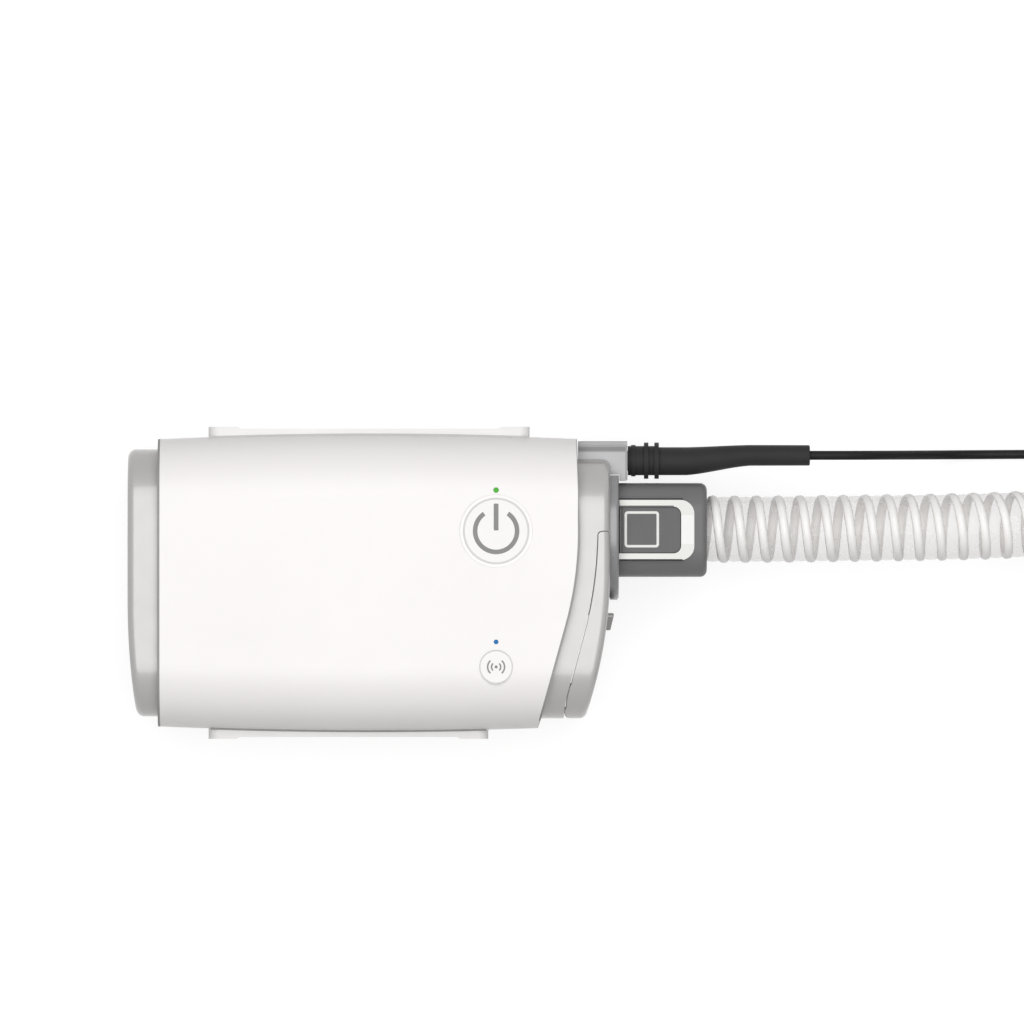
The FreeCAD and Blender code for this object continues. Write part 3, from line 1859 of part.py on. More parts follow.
boot_end = plug_end + S.boot_long


def plug_boot():
    """The moulded strain relief: round sections that slim down and step over to the lead."""
    body = new_body("boot_body")
    stations = [
        (plug_end, S.boot_radius, S.boot_y),
        (plug_end + S.boot_straight, S.boot_radius, S.boot_y),
        (plug_end + S.boot_slim, S.boot_tail_radius, S.lead_y),
        (boot_end, S.boot_tail_radius, S.lead_y),
    ]
    sections = []
    for number, (x, radius, y) in enumerate(stations):
        item = new_sketch(body, f"section_{number}", "YZ_Plane", x)
        circle(item, radius, y, mid_high)
        sections.append(item)
    loft = body.newObject("PartDesign::AdditiveLoft", "boot_loft")
    loft.Profile = sections[0]
    loft.Sections = sections[1:]
    loft.Ruled = False
    return body


keep("plug_boot", plug_boot())

lead_high = S.lead_radius.number
lead_points = [
    (boot_end.number, S.lead_y.number, axis_high),
    (127.0, S.lead_y.number, axis_high),
    (137.0, 35.0, 22.4),
    (146.0, 35.1, 13.0),
    (155.0, 35.0, 4.6),
    (165.0, 34.9, lead_high),
    (181.0, 35.1, lead_high),
    (197.0, 34.8, lead_high),
    (210.5, 42.8, lead_high),
]
adapter_y = S.adapter_low.number + S.adapter_wide.number / 2
lead_out_high = 4.0
lead_tail_points = [
    (216.5, 54.0, lead_high),
    (219.0, 65.0, lead_high),
    (227.0, 73.5, lead_high),
    (241.0, 76.5, lead_high),
    (259.0, 75.5, lead_high),
    (279.0, 73.0, lead_high),
    (299.0, 70.0, lead_high),
    (315.0, adapter_y, lead_out_high),
    (S.adapter_left.number, adapter_y, lead_out_high),
]
lead_coil_at = (S.lead_coil_x, S.lead_coil_y)
lead_coil_inner = S.lead_coil_radius - S.lead_coil_wide / 2
lead_coil_outer = S.lead_coil_radius + S.lead_coil_wide / 2
lead_coil = turned(
    "lead_coil_body",
    "Z",
    [
        (ZERO, lead_coil_inner),
        (ZERO, lead_coil_outer),
        (S.lead_coil_high, lead_coil_outer),
        (S.lead_coil_high, lead_coil_inner),
    ],
)
place(lead_coil, *lead_coil_at)
round_edges(lead_coil, S.edge_round, lambda edge: edge.Curve.TypeId == "Part::GeomCircle")
tie(
    "lead_tie",
    "lead_coil",
    lead_coil,
    lead_coil_at,
    (lead_coil_inner, lead_coil_outer, S.lead_coil_high),
    S.lead_tie_wide,
    S.lead_tie_angle,
)
lead_reach = rod("lead_reach", lead_coil_outer, "Z", both_ways(S.cut_reach), lead_coil_at)
lead_run = cord("lead_run", lead_points, S.lead_radius)
keep("lead_tube", cut("lead_tube_cut", lead_run, [lead_reach]))
tail_run = cord("lead_tail_run", lead_tail_points, S.lead_radius)
keep("lead_tail", cut("lead_tail_cut", tail_run, [lead_reach]))

adapter_right = S.adapter_left + S.adapter_long
adapter = prism(
    "adapter_body",
    [
        (S.adapter_left, S.adapter_low),
        (adapter_right, S.adapter_low),
        (adapter_right, S.adapter_low + S.adapter_wide),
        (S.adapter_left, S.adapter_low + S.adapter_wide),
    ],
    (ZERO, S.adapter_high),
    S.adapter_round,
)
round_edges(adapter, S.adapter_edge, lambda edge: edge.BoundBox.ZLength < NEAR, name="edge_round")
keep("wall_adapter", adapter)
prong_x = S.adapter_left + S.adapter_long / 2
prong_y = S.adapter_low + S.adapter_wide / 2
prongs = [
    box(
        f"prong_{side}",
        (prong_x - S.prong_wide / 2, prong_x + S.prong_wide / 2),
        (
            prong_y + S.blade_gap / 2 * side - S.prong_thick / 2,
            prong_y + S.blade_gap / 2 * side + S.prong_thick / 2,
        ),
        (S.adapter_high, S.adapter_high + S.prong_long),
    )
    for side in (-1, 1)
]
keep("adapter_blades", fuse("prong_pair", prongs))


# ---------------------------------------------------------------- checks and export

doc.recompute()
failed = [item.Name for item in doc.Objects if {"Invalid", "Error"} & set(item.State)]
for item in doc.Objects:
    if item.TypeId == "PartDesign::Pocket" and item.Name not in failed:
        if item.Shape.Volume >= item.BaseFeature.Shape.Volume - NEAR:
            failed.append(item.Name)
if failed:
    raise RuntimeError(f"these failed or cut nothing: {failed}")

os.makedirs("parts", exist_ok=True)
for node, item in pieces.items():
    shape = item.Shape
    if shape.isNull() or not shape.isValid() or shape.Volume <= 0:
        raise RuntimeError(f"{node}: no valid solid")
    shape.exportStep(os.path.join("parts", f"{node}.step"))
    room = shape.BoundBox
    print(
        f"{node}: {len(shape.Solids)} solids, {shape.Volume:.0f} mm3,"
        f" x {room.XMin:.2f} {room.XMax:.2f}, y {room.YMin:.2f} {room.YMax:.2f},"
        f" z {room.ZMin:.2f} {room.ZMax:.2f}"
    )
print(len(pieces), "nodes")
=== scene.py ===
import json
import math

import bmesh
import bpy
import numpy as np
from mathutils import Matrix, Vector


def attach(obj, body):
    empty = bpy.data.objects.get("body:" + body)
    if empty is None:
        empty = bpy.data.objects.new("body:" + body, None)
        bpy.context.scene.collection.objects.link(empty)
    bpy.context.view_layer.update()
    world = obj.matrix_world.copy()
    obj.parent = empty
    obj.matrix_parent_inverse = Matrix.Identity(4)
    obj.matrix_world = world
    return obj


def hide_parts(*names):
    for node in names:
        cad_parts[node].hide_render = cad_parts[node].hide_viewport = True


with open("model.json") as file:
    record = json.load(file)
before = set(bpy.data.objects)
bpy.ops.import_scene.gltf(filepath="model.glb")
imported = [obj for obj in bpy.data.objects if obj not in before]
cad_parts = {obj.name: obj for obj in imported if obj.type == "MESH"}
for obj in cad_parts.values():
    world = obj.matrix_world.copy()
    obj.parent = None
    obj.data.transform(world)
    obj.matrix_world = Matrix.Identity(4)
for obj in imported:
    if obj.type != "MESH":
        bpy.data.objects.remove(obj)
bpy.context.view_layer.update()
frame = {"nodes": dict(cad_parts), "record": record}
nodes = frame["nodes"]

# A small travel CPAP machine, lying flat, seen from straight above. What a name that ends in
# _MM holds, and the points and levels given to the helpers below, are millimetres; other
# lengths are metres. Both are in the frame of the CAD.

scene = bpy.context.scene
scene.view_settings.view_transform = "Standard"

# ---------------------------------------------------------------- camera

VIEW_CENTRE_MM = (36.57, 19.30)
VIEW_WIDTH_MM = 279.2
VIEW_PLANE_MM = 28.0  # the height at which the picture is VIEW_WIDTH_MM wide
LENS_MM = 900.0
SENSOR_MM = 36.0
CLIP_START = 0.05
CLIP_END = 50.0

camera_data = bpy.data.cameras.new("camera")
camera_data.type = "PERSP"
camera_data.lens = LENS_MM
camera_data.sensor_width = SENSOR_MM
camera_data.clip_start = CLIP_START
camera_data.clip_end = CLIP_END
camera = bpy.data.objects.new("camera", camera_data)
camera.location = (
    VIEW_CENTRE_MM[0] / 1000,
    VIEW_CENTRE_MM[1] / 1000,
    (VIEW_PLANE_MM + VIEW_WIDTH_MM * LENS_MM / SENSOR_MM) / 1000,
)
scene.collection.objects.link(camera)
scene.camera = camera

# ---------------------------------------------------------------- geometry helpers

AXIS_Z_MM = 26.6  # height of the machine's long axis, where the hose and the lead leave it too
SAME_PLACE = 1e-6  # metres
NO_STEP = 1e-7


def mm(point):
    """A point given in millimetres, in metres."""
    return Vector(point) / 1000


def new_piece(name, verts, faces, body, slot, look, smooth=True):
    """A mesh piece from vertices in millimetres; look is the name of its material."""
    mesh = bpy.data.meshes.new(name)
    mesh.from_pydata([tuple(c / 1000 for c in v) for v in verts], [], [tuple(f) for f in faces])
    mesh.validate()
    mesh.update()
    if smooth:
        mesh.polygons.foreach_set("use_smooth", [True] * len(mesh.polygons))
    piece = bpy.data.objects.new(name, mesh)
    scene.collection.objects.link(piece)
    mesh.materials.append(MATERIALS[look])
    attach(piece, body)
    return piece


def band(inner, outer, z_low, z_high, closed):
    """A flat band between two outlines of equal length, as a solid with a top and walls."""
    count = len(inner)
    verts = []
    for z in (z_low, z_high):
        verts += [(x, y, z) for x, y in inner]
        verts += [(x, y, z) for x, y in outer]
    faces = []
    steps = count if closed else count - 1
    for k in range(steps):
        n = (k + 1) % count
        faces.append((2 * count + k, 2 * count + n, 3 * count + n, 3 * count + k))
        faces.append((k, n, 2 * count + n, 2 * count + k)[::-1])
        faces.append((count + k, count + n, 3 * count + n, 3 * count + k))
        faces.append((k, count + k, count + n, n))
    if not closed:
        for k in (0, count - 1):
            faces.append((k, count + k, 3 * count + k, 2 * count + k))
    return verts, faces


def circle_points(centre, radius, start, end, count):
    """Points of an arc, both ends among them; angles are in degrees."""
    angles = [math.radians(start + (end - start) * k / (count - 1)) for k in range(count)]
    return [(centre[0] + radius * math.cos(a), centre[1] + radius * math.sin(a)) for a in angles]


def full_circle(centre, radius, count=96):
    """Points of a whole circle, with none twice."""
    return circle_points(centre, radius, 0, 360 - 360 / count, count)


def on_circle(centre, radius, angle, height):
    """A point over a circle, at an angle in degrees."""
    turn = math.radians(angle)
    return (centre[0] + radius * math.cos(turn), centre[1] + radius * math.sin(turn), height)


def rounded_rect(x0, x1, y0, y1, radius, steps=8):
    """A closed outline, counterclockwise, with steps + 1 points in each corner."""
    outline = []
    corners = ((x1, y1, 0), (x0, y1, 90), (x0, y0, 180), (x1, y0, 270))
    for x, y, start in corners:
        cx = x - radius if x == x1 else x + radius
        cy = y - radius if y == y1 else y + radius
        outline += circle_points((cx, cy), radius, start, start + 90, steps + 1)
    return outline


def plate(name, outline, z_low, z_high, body, slot, look):
    """A thin flat plate over a closed outline."""
    count = len(outline)
    verts = [(x, y, z) for z in (z_low, z_high) for x, y in outline]
    faces = [tuple(range(count))[::-1], tuple(range(count, 2 * count))]
    faces += [(k, (k + 1) % count, count + (k + 1) % count, count + k) for k in range(count)]
    new_piece(name, verts, faces, body, slot, look, smooth=False)


def box_plate(name, box, body, slot, look):
    """A plate over a rectangle: box holds its low and high X, Y and Z."""
    x0, x1, y0, y1, z0, z1 = box
    plate(name, [(x0, y0), (x1, y0), (x1, y1), (x0, y1)], z0, z1, body, slot, look)


def grid_faces(rows, columns):
    """Quads of a grid that is open in both directions."""
    return [
        (r * columns + c, r * columns + c + 1, (r + 1) * columns + c + 1, (r + 1) * columns + c)
        for r in range(rows - 1)
        for c in range(columns - 1)
    ]


def weld(piece):
    """Joins the piece's vertices that share a place, and drops those that no face uses."""
    shape = bmesh.new()
    shape.from_mesh(piece.data)
    bmesh.ops.remove_doubles(shape, verts=shape.verts, dist=SAME_PLACE)
    loose = [vert for vert in shape.verts if not vert.link_faces]
    bmesh.ops.delete(shape, geom=loose, context="VERTS")
    shape.to_mesh(piece.data)
    shape.free()


def nurbs_curve(name, points):
    """An open NURBS spline of order 3 through its two end points."""
    data = bpy.data.curves.new(name, "CURVE")
    data.dimensions = "3D"
    spline = data.splines.new("NURBS")
    spline.points.add(len(points) - 1)
    for control, point in zip(spline.points, points):
        control.co = (*mm(point), 1.0)
    spline.order_u = 3
    spline.use_endpoint_u = True
    piece = bpy.data.objects.new(name, data)
    scene.collection.objects.link(piece)
    return piece


def line_of(curve, resolution):
    """The points along a curve that has no bevel, as an array in metres."""
    curve.data.resolution_u = resolution
    bpy.context.view_layer.update()
    graph = bpy.context.evaluated_depsgraph_get()
    mesh = bpy.data.meshes.new_from_object(curve.evaluated_get(graph))
    points = np.array([v.co for v in mesh.vertices], float)
    bpy.data.meshes.remove(mesh)
    return points


def smooth_step(value):
    """0 up to 0, 1 from 1 on, and an even rise between."""
    value = min(max(value, 0.0), 1.0)
    return value * value * (3 - 2 * value)


# ---------------------------------------------------------------- materials


def srgb(*levels):
    """Display levels 0 to 255 as a linear colour."""
    out = []
    for level in levels:
        c = level / 255
        out.append(c / 12.92 if c <= 0.04045 else ((c + 0.055) / 1.055) ** 2.4)
    return (*out, 1.0)


def noise(tree, coords, scale, detail):
    """The value of a noise texture, mostly from 0.3 to 0.7."""
    node = tree.nodes.new("ShaderNodeTexNoise")
    node.inputs["Scale"].default_value = scale
    node.inputs["Detail"].default_value = detail
    tree.links.new(coords, node.inputs["Vector"])
    return node.outputs["Fac"]


def mapped(tree, value, low, high):
    """A noise value spread from low to high."""
    node = tree.nodes.new("ShaderNodeMapRange")
    node.inputs["From Min"].default_value = 0.3
    node.inputs["From Max"].default_value = 0.7
    node.inputs["To Min"].default_value = low
    node.inputs["To Max"].default_value = high
    tree.links.new(value, node.inputs["Value"])
    return node.outputs["Result"]


TONE_STOPS = (0.35, 0.65)
GLOSS_PATCHES = 9
GRAIN_DEPTH = 0.00005


def surface(name, first, second, rough, patch=25.0, grain=1800.0, bump=0.05, **sockets):
    """A procedural material: its colour drifts between two tones, with grain in gloss and bump.

    The tones are display levels, rough holds the least and the most roughness, and sockets are
    inputs of the shader, with _ for a space."""
    material = bpy.data.materials.new(name)
    material.use_nodes = True
    tree = material.node_tree
    shader = tree.nodes["Principled BSDF"]
    coords = tree.nodes.new("ShaderNodeTexCoord").outputs["Object"]
    ramp = tree.nodes.new("ShaderNodeValToRGB")
    for element, stop, tone in zip(ramp.color_ramp.elements, TONE_STOPS, (first, second)):
        element.position = stop
        element.color = srgb(*tone)
    tree.links.new(noise(tree, coords, patch, 3.0), ramp.inputs["Fac"])
    tree.links.new(ramp.outputs["Color"], shader.inputs["Base Color"])
    tree.links.new(
        mapped(tree, noise(tree, coords, patch * GLOSS_PATCHES, 4.0), *rough),
        shader.inputs["Roughness"],
    )
    lumps = tree.nodes.new("ShaderNodeBump")
    lumps.inputs["Strength"].default_value = bump
    lumps.inputs["Distance"].default_value = GRAIN_DEPTH
    tree.links.new(noise(tree, coords, grain, 2.0), lumps.inputs["Height"])
    tree.links.new(lumps.outputs["Normal"], shader.inputs["Normal"])
    for socket, value in sockets.items():
        shader.inputs[socket.replace("_", " ")].default_value = value
    return material


# first tone, second tone, least and most roughness, and what differs from the defaults
LOOKS = {
    "white_shell": ((250, 247, 246), (248, 245, 244), (0.36, 0.44), dict(bump=0.012)),
    "grey_shell": (
        (183, 181, 179), (179, 177, 175), (0.3, 0.38),
        dict(bump=0.02, Metallic=0.2, Coat_Weight=0.5, Coat_Roughness=0.06),
    ),
    "collar_grey": ((142, 142, 143), (136, 136, 138), (0.2, 0.28), dict(bump=0.02, Metallic=0.15)),
    "socket_grey": ((184, 184, 185), (180, 180, 181), (0.34, 0.44), dict()),
    "pad_white": ((233, 232, 231), (229, 228, 227), (0.5, 0.62), dict(grain=2600.0)),
    "foot_rubber": ((120, 120, 121), (108, 108, 110), (0.7, 0.85), dict(bump=0.25)),
    "button_white": ((248, 246, 245), (246, 244, 243), (0.36, 0.44), dict(bump=0.012)),
    "steel": ((190, 190, 192), (170, 171, 174), (0.22, 0.38), dict(Metallic=1.0, grain=900.0)),
    "foam": ((96, 97, 99), (76, 77, 80), (0.85, 0.95), dict(patch=160.0, grain=700.0, bump=0.9)),
    "filter_media": ((236, 238, 240), (222, 225, 230), (0.85, 0.95), dict(grain=1100.0, bump=0.7)),
    "inner_plastic": ((88, 90, 94), (80, 82, 86), (0.5, 0.62), dict(bump=0.12)),
    "board_green": ((30, 96, 58), (22, 82, 48), (0.25, 0.35), dict(patch=300.0)),
    "black_part": ((42, 42, 44), (34, 34, 36), (0.4, 0.5), dict()),
    "wheel": ((222, 222, 224), (214, 214, 217), (0.3, 0.4), dict()),
    "seal_rubber": ((70, 70, 72), (60, 60, 62), (0.6, 0.75), dict(bump=0.2)),
    "cuff_grey": (
        (120, 120, 121), (115, 115, 116), (0.4, 0.5),
        dict(bump=0.08, Specular_IOR_Level=0.25),
    ),
    "release_grey": (
        (108, 108, 109), (103, 103, 104), (0.4, 0.5),
        dict(bump=0.08, Specular_IOR_Level=0.2),
    ),
    "stripe_white": ((238, 238, 234), (232, 232, 228), (0.36, 0.46), dict()),
    "mask_cuff_grey": ((128, 128, 130), (118, 118, 120), (0.5, 0.62), dict(bump=0.15)),
    "lead_black": (
        (24, 24, 25), (19, 19, 20), (0.46, 0.58),
        dict(bump=0.1, Specular_IOR_Level=0.18),
    ),
    "plug_black": (
        (55, 55, 56), (50, 50, 51), (0.45, 0.55),
        dict(bump=0.08, Specular_IOR_Level=0.08, Sheen_Weight=0.12, Sheen_Roughness=0.4),
    ),
    "strap": ((62, 62, 65), (50, 50, 53), (0.6, 0.75), dict(bump=0.3)),
    "brass_blade": ((214, 200, 150), (202, 186, 132), (0.2, 0.34), dict(Metallic=1.0, grain=700.0)),
    "green_lens": ((78, 180, 52), (70, 170, 44), (0.3, 0.4), dict(Specular_IOR_Level=0.2)),
    "blue_lens": ((0, 116, 184), (0, 106, 174), (0.3, 0.4), dict(Specular_IOR_Level=0.2)),
    "hose_film": (
        (246, 242, 241), (240, 236, 235), (0.1, 0.2),
        dict(patch=90.0, grain=700.0, bump=0.16, Alpha=0.29),
    ),
    "bead": ((253, 251, 249), (250, 248, 246), (0.26, 0.36), dict(bump=0.06)),
    "symbol": ((130, 130, 128), (124, 124, 122), (0.4, 0.5), dict()),
    # painted shade: the dark lines in gaps and seams, and along the front pad
    "gap_grey": ((154, 153, 151), (148, 147, 145), (0.6, 0.7), dict()),
    # painted shade on the socket housing's ledge, edge and end
    "ledge_grey": ((130, 130, 130), (126, 126, 126), (0.5, 0.6), dict()),
    "ledge_soft": ((158, 158, 158), (154, 154, 154), (0.5, 0.6), dict()),
    # painted shade: rings in the buttons' gaps, and the dish's brim
    "ring_grey": ((216, 215, 214), (211, 210, 209), (0.45, 0.55), dict()),
    "dish_brim_shade": ((241, 239, 238), (238, 236, 235), (0.4, 0.5), dict()),
    "tab_grey": ((142, 141, 139), (136, 135, 133), (0.4, 0.5), dict()),
    # painted shadow along the raised stripe's edges
    "outline_dark": ((46, 46, 47), (40, 40, 41), (0.6, 0.7), dict(Specular_IOR_Level=0.1)),
    # painted highlight on the stripe's bar
    "stripe_bright": ((247, 247, 245), (244, 244, 242), (0.36, 0.46), dict()),
    # painted shade along the rear pad, and a painted highlight on the finger tab's edge
    "tab_light": ((190, 189, 187), (184, 183, 181), (0.4, 0.5), dict()),
    "mark_white": ((236, 236, 232), (230, 230, 226), (0.4, 0.5), dict()),
}
MATERIALS = {
    name: surface(name, first, second, rough, **more)
    for name, (first, second, rough, more) in LOOKS.items()
}

OWN_LOOKS = {"release_button_top": "release_grey", "release_button_bottom": "release_grey"}

for part in frame["record"]["subparts"]:
    item = nodes[part["node"]]
    item.data.materials.clear()
    item.data.materials.append(MATERIALS[OWN_LOOKS.get(part["node"], part["material_slot"])])

# ---------------------------------------------------------------- hose

HOSE_RADIUS_MM = 9.25
HOSE_START_MM = (
    (87.8, 14.6, 26.6),
    (108.0, 14.6, 26.6),
    (134.0, 14.9, 26.2),
    (161.0, 15.25, 24.0),
    (186.0, 16.3, 19.0),
    (211.0, 23.2, 12.6),
    (233.5, 37.2, 9.25),
)
HOSE_FINENESS = 16
COIL_CENTRE_MM = (284.0, -42.0)
COIL_RADIUS_MM = 94.0
COIL_PITCH_MM = 18.7
CUFF_AXIS_MM = 51.45
CUFF_REACH_MM = 3.0
# angles in degrees, which run down as the hose winds up; TURN_RISE is where the turn before the
# first would climb, LAST_RISE how much of the last turn climbs on to the mask cuff
COIL_FIRST = 122.5
COIL_LAST = -135.0 - 720.0
COIL_STEP = 15.0
TURN_RISE = (190.0, 143.0)
LAST_RISE = 30.0


def coil_height(angle):
    """Height of the hose's axis at a running angle: each turn climbs onto the one below it."""
    height = HOSE_RADIUS_MM
    for turn in (1, 2):
        start, end = (rise - 360 * turn for rise in TURN_RISE)
        height += COIL_PITCH_MM * smooth_step((start - angle) / (start - end))
    last_rise = smooth_step((COIL_LAST + LAST_RISE - angle) / LAST_RISE)
    return height + (CUFF_AXIS_MM - HOSE_RADIUS_MM - 2 * COIL_PITCH_MM) * last_rise


hose_route = list(HOSE_START_MM)
corner_radius = COIL_RADIUS_MM / math.cos(math.radians(COIL_STEP / 2))
angle = COIL_FIRST - COIL_STEP
while angle > COIL_LAST + COIL_STEP / 2:
    hose_route.append(on_circle(COIL_CENTRE_MM, corner_radius, angle, coil_height(angle)))
    angle -= COIL_STEP
end_x, end_y, _ = on_circle(COIL_CENTRE_MM, COIL_RADIUS_MM, COIL_LAST, CUFF_AXIS_MM)
end_turn = math.radians(COIL_LAST)
for along in (-CUFF_REACH_MM, CUFF_REACH_MM):
    hose_route.append(
        (end_x + along * math.sin(end_turn), end_y - along * math.cos(end_turn), CUFF_AXIS_MM)
    )

hose_guide = nurbs_curve("hose_guide", hose_route)
hose_line = line_of(hose_guide, HOSE_FINENESS)
bpy.data.objects.remove(hose_guide)


class Track:
    """A line with its running length and a frame of two sideways directions that never twists."""

    def __init__(self, points, side):
        keep = np.r_[True, np.linalg.norm(np.diff(points, axis=0), axis=1) > NO_STEP]
        self.points = points[keep]
        steps = np.linalg.norm(np.diff(self.points, axis=0), axis=1)
        self.along = np.r_[0.0, np.cumsum(steps)]
        heading = np.gradient(self.points, self.along, axis=0)
        heading /= np.linalg.norm(heading, axis=1)[:, None]
        sides = [np.array(side, float)]
        for now in heading[1:]:
            moved = sides[-1] - now * np.dot(sides[-1], now)
            sides.append(moved / np.linalg.norm(moved))
        self.side = np.array(sides)
        self.up = np.cross(heading, self.side)

    def at(self, where):
        """Point, side and up at running lengths, straight lines between the known ones."""
        mixed = []
        for values in (self.points, self.side, self.up):
            mixed.append(
                np.stack([np.interp(where, self.along, values[:, k]) for k in range(3)], axis=-1)
            )
        return mixed


# the spiral bead and the film between its windings, in metres; BEAD_START is in turns
BEAD_PITCH = 0.00595
BEAD_HALF_WIDE = 0.00128
BEAD_HALF_HIGH = 0.00084
BEAD_CENTRE = 0.00841
BEAD_FIRST = 0.0035
BEAD_START = -0.55
BEAD_ROWS = 8
FILM_RADIUS = 0.00842
FILM_CROWN = 0.00048
FILM_ROWS = 6
AROUND = 32

hose = Track(hose_line, (0, 1, 0))
turns_of_bead = int((hose.along[-1] - BEAD_FIRST) / BEAD_PITCH) - 1


def outward_at(where, spin):
    """Points of the hose's line at running lengths, and the way out of it at angles."""
    point, side, up = hose.at(where)
    return point, side * np.cos(spin)[:, None] + up * np.sin(spin)[:, None]


def film():
    """The hose's thin wall: a spiral strip, crowned between one bead and the next."""
    spin = 2 * math.pi * np.arange(BEAD_START - 1, turns_of_bead, 1 / AROUND)
    verts, heights = [], []
    for row in range(FILM_ROWS + 1):
        share = row / FILM_ROWS
        where = BEAD_FIRST + (spin / (2 * math.pi) + share) * BEAD_PITCH
        radius = FILM_RADIUS + FILM_CROWN * math.sin(math.pi * share)
        point, outward = outward_at(np.maximum(where, 0.0), spin)
        verts.append(point + radius * outward)
        heights.append(where)
    heights = np.concatenate(heights)
    faces = [
        face
        for face in grid_faces(FILM_ROWS + 1, len(spin))
        if max(heights[corner] for corner in face) > 0
    ]
    return np.concatenate(verts) * 1000, faces


def bead():
    """The round white bead that winds round the wall once every pitch."""
    spin = 2 * math.pi * np.arange(BEAD_START, turns_of_bead, 1 / AROUND)
    point, outward = outward_at(BEAD_FIRST + spin / (2 * math.pi) * BEAD_PITCH, spin)
    centre = point + BEAD_CENTRE * outward
    heading = np.gradient(centre, axis=0)
    heading /= np.linalg.norm(heading, axis=1)[:, None]
    across = np.cross(heading, outward)
    rows = []
    for k in range(BEAD_ROWS):
        turn = 2 * math.pi * k / BEAD_ROWS
        high, wide = BEAD_HALF_HIGH * math.cos(turn), BEAD_HALF_WIDE * math.sin(turn)
        rows.append(centre + outward * high + across * wide)
    columns = len(spin)
    steps = columns - 1
    faces = []
    for r in range(BEAD_ROWS):
        low, high = r * columns, (r + 1) % BEAD_ROWS * columns
        faces += [(low + c, low + c + 1, high + c + 1, high + c) for c in range(steps)]
    faces.append([r * columns for r in range(BEAD_ROWS)])
    faces.append([r * columns + steps for r in range(BEAD_ROWS)][::-1])
    return np.concatenate(rows) * 1000, faces


hose_film = new_piece("hose_film_wall", *film(), "hose", "hose_film", "hose_film")
weld(hose_film)
hose_bead = new_piece("hose_bead", *bead(), "hose", "hose_film", "bead")
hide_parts("hose_tube", "hose_coil")

# ---------------------------------------------------------------- lead

# X, Y and radius where the boot begins and where it is slim
BOOT_WIDE_MM = (76.6, 33.15, 3.82)
BOOT_SLIM_MM = (101.4, 34.75, 2.84)
BOOT_BEND_MM = 84.2
BOOT_END_MM = 117.8
BOOT_TAIL_MM = 2.8
BOOT_LIP_MM = 0.25
BOOT_HOLE_MM = 1.2
BOOT_STEPS = 12
BOOT_AROUND = 40
BOOT_SHARP = 35  # degrees


def boot():
    """The lead's strain relief: a straight sleeve that slants down to a slim straight tail."""
    x, y, radius = BOOT_WIDE_MM
    stations = [(x, y, BOOT_HOLE_MM), (x, y, radius), (BOOT_BEND_MM, y, radius)]
    slim_x, slim_y, slim_radius = BOOT_SLIM_MM
    for k in range(1, BOOT_STEPS + 1):
        share = k / BOOT_STEPS
        eased = (share + smooth_step(share)) / 2
        stations.append(
            (
                BOOT_BEND_MM + (slim_x - BOOT_BEND_MM) * share,
                y + (slim_y - y) * eased,
                radius + (slim_radius - radius) * eased,
            )
        )
    stations += [
        (BOOT_END_MM - BOOT_LIP_MM, slim_y, BOOT_TAIL_MM),
        (BOOT_END_MM, slim_y, BOOT_TAIL_MM - BOOT_LIP_MM),
        (BOOT_END_MM, slim_y, BOOT_HOLE_MM),
    ]
    verts = []
    for x, y, radius in stations:
        for k in range(BOOT_AROUND):
            turn = 2 * math.pi * k / BOOT_AROUND
            verts.append((x, y + radius * math.cos(turn), AXIS_Z_MM + radius * math.sin(turn)))
    faces = []
    for row in range(len(stations)):
        low, high = row * BOOT_AROUND, (row + 1) % len(stations) * BOOT_AROUND
        for k in range(BOOT_AROUND):
            n = (k + 1) % BOOT_AROUND
            faces.append((low + k, high + k, high + n, low + n))
    return verts, faces


lead_boot = new_piece("lead_boot", *boot(), "lead", "plug_black", "plug_black")
lead_boot.data.set_sharp_from_angle(angle=math.radians(BOOT_SHARP))
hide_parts("plug_boot")

LEAD_RADIUS_MM = 1.25
LEAD_START_MM = (
    (116.5, 34.75, 26.6),
    (127.0, 34.75, 26.6),
    (137.0, 34.8, 22.4),
    (146.0, 34.86, 13.0),
    (155.0, 34.93, 4.6),
    (165.0, 35.0, 1.25),
    (181.0, 35.1, 1.25),
    (197.0, 34.8, 1.25),
)
LEAD_COIL_MM = (198.5, 57.5)
LEAD_GAP_MM = 2.5
LEAD_OUTER_MM = 18.75
LEAD_COLUMNS = 4
LEAD_LAYERS = 4
LEAD_TURNS = LEAD_COLUMNS * LEAD_LAYERS
# angles in degrees: where a turn starts, its step, and how much of it crosses to the next
LEAD_FIRST = -60.0
LEAD_STEP = 20.0
CROSSING = 180.0
TOP_LAYER_MM = LEAD_RADIUS_MM + LEAD_GAP_MM * (LEAD_LAYERS - 1)
# angle, radius and height where the lead leaves its coil
LEAD_PEEL = (
    (-60.0, 18.75, TOP_LAYER_MM),
    (-40.0, 18.75, TOP_LAYER_MM),
    (-20.0, 19.2, TOP_LAYER_MM),
    (0.0, 20.6, TOP_LAYER_MM),
    (18.0, 24.0, 6.2),
)
LEAD_TAIL_MM = (
    (226.0, 74.5, 1.25),
    (241.0, 76.5, 1.25),
    (259.0, 75.5, 1.25),
    (279.0, 73.0, 1.25),
    (299.0, 70.0, 1.25),
    (315.0, 69.0, 4.0),
    (331.5, 69.0, 4.0),
)
LEAD_FINENESS = 6
LEAD_ROUNDNESS = 5
steps_per_turn = int(360 / LEAD_STEP)


def lead_place(number):
    """Radius and height of a whole turn: layers fill inwards and outwards by turns."""
    layer, column = divmod(number, LEAD_COLUMNS)
    if layer % 2:
        column = LEAD_COLUMNS - 1 - column
    return LEAD_OUTER_MM - LEAD_GAP_MM * column, LEAD_RADIUS_MM + LEAD_GAP_MM * layer


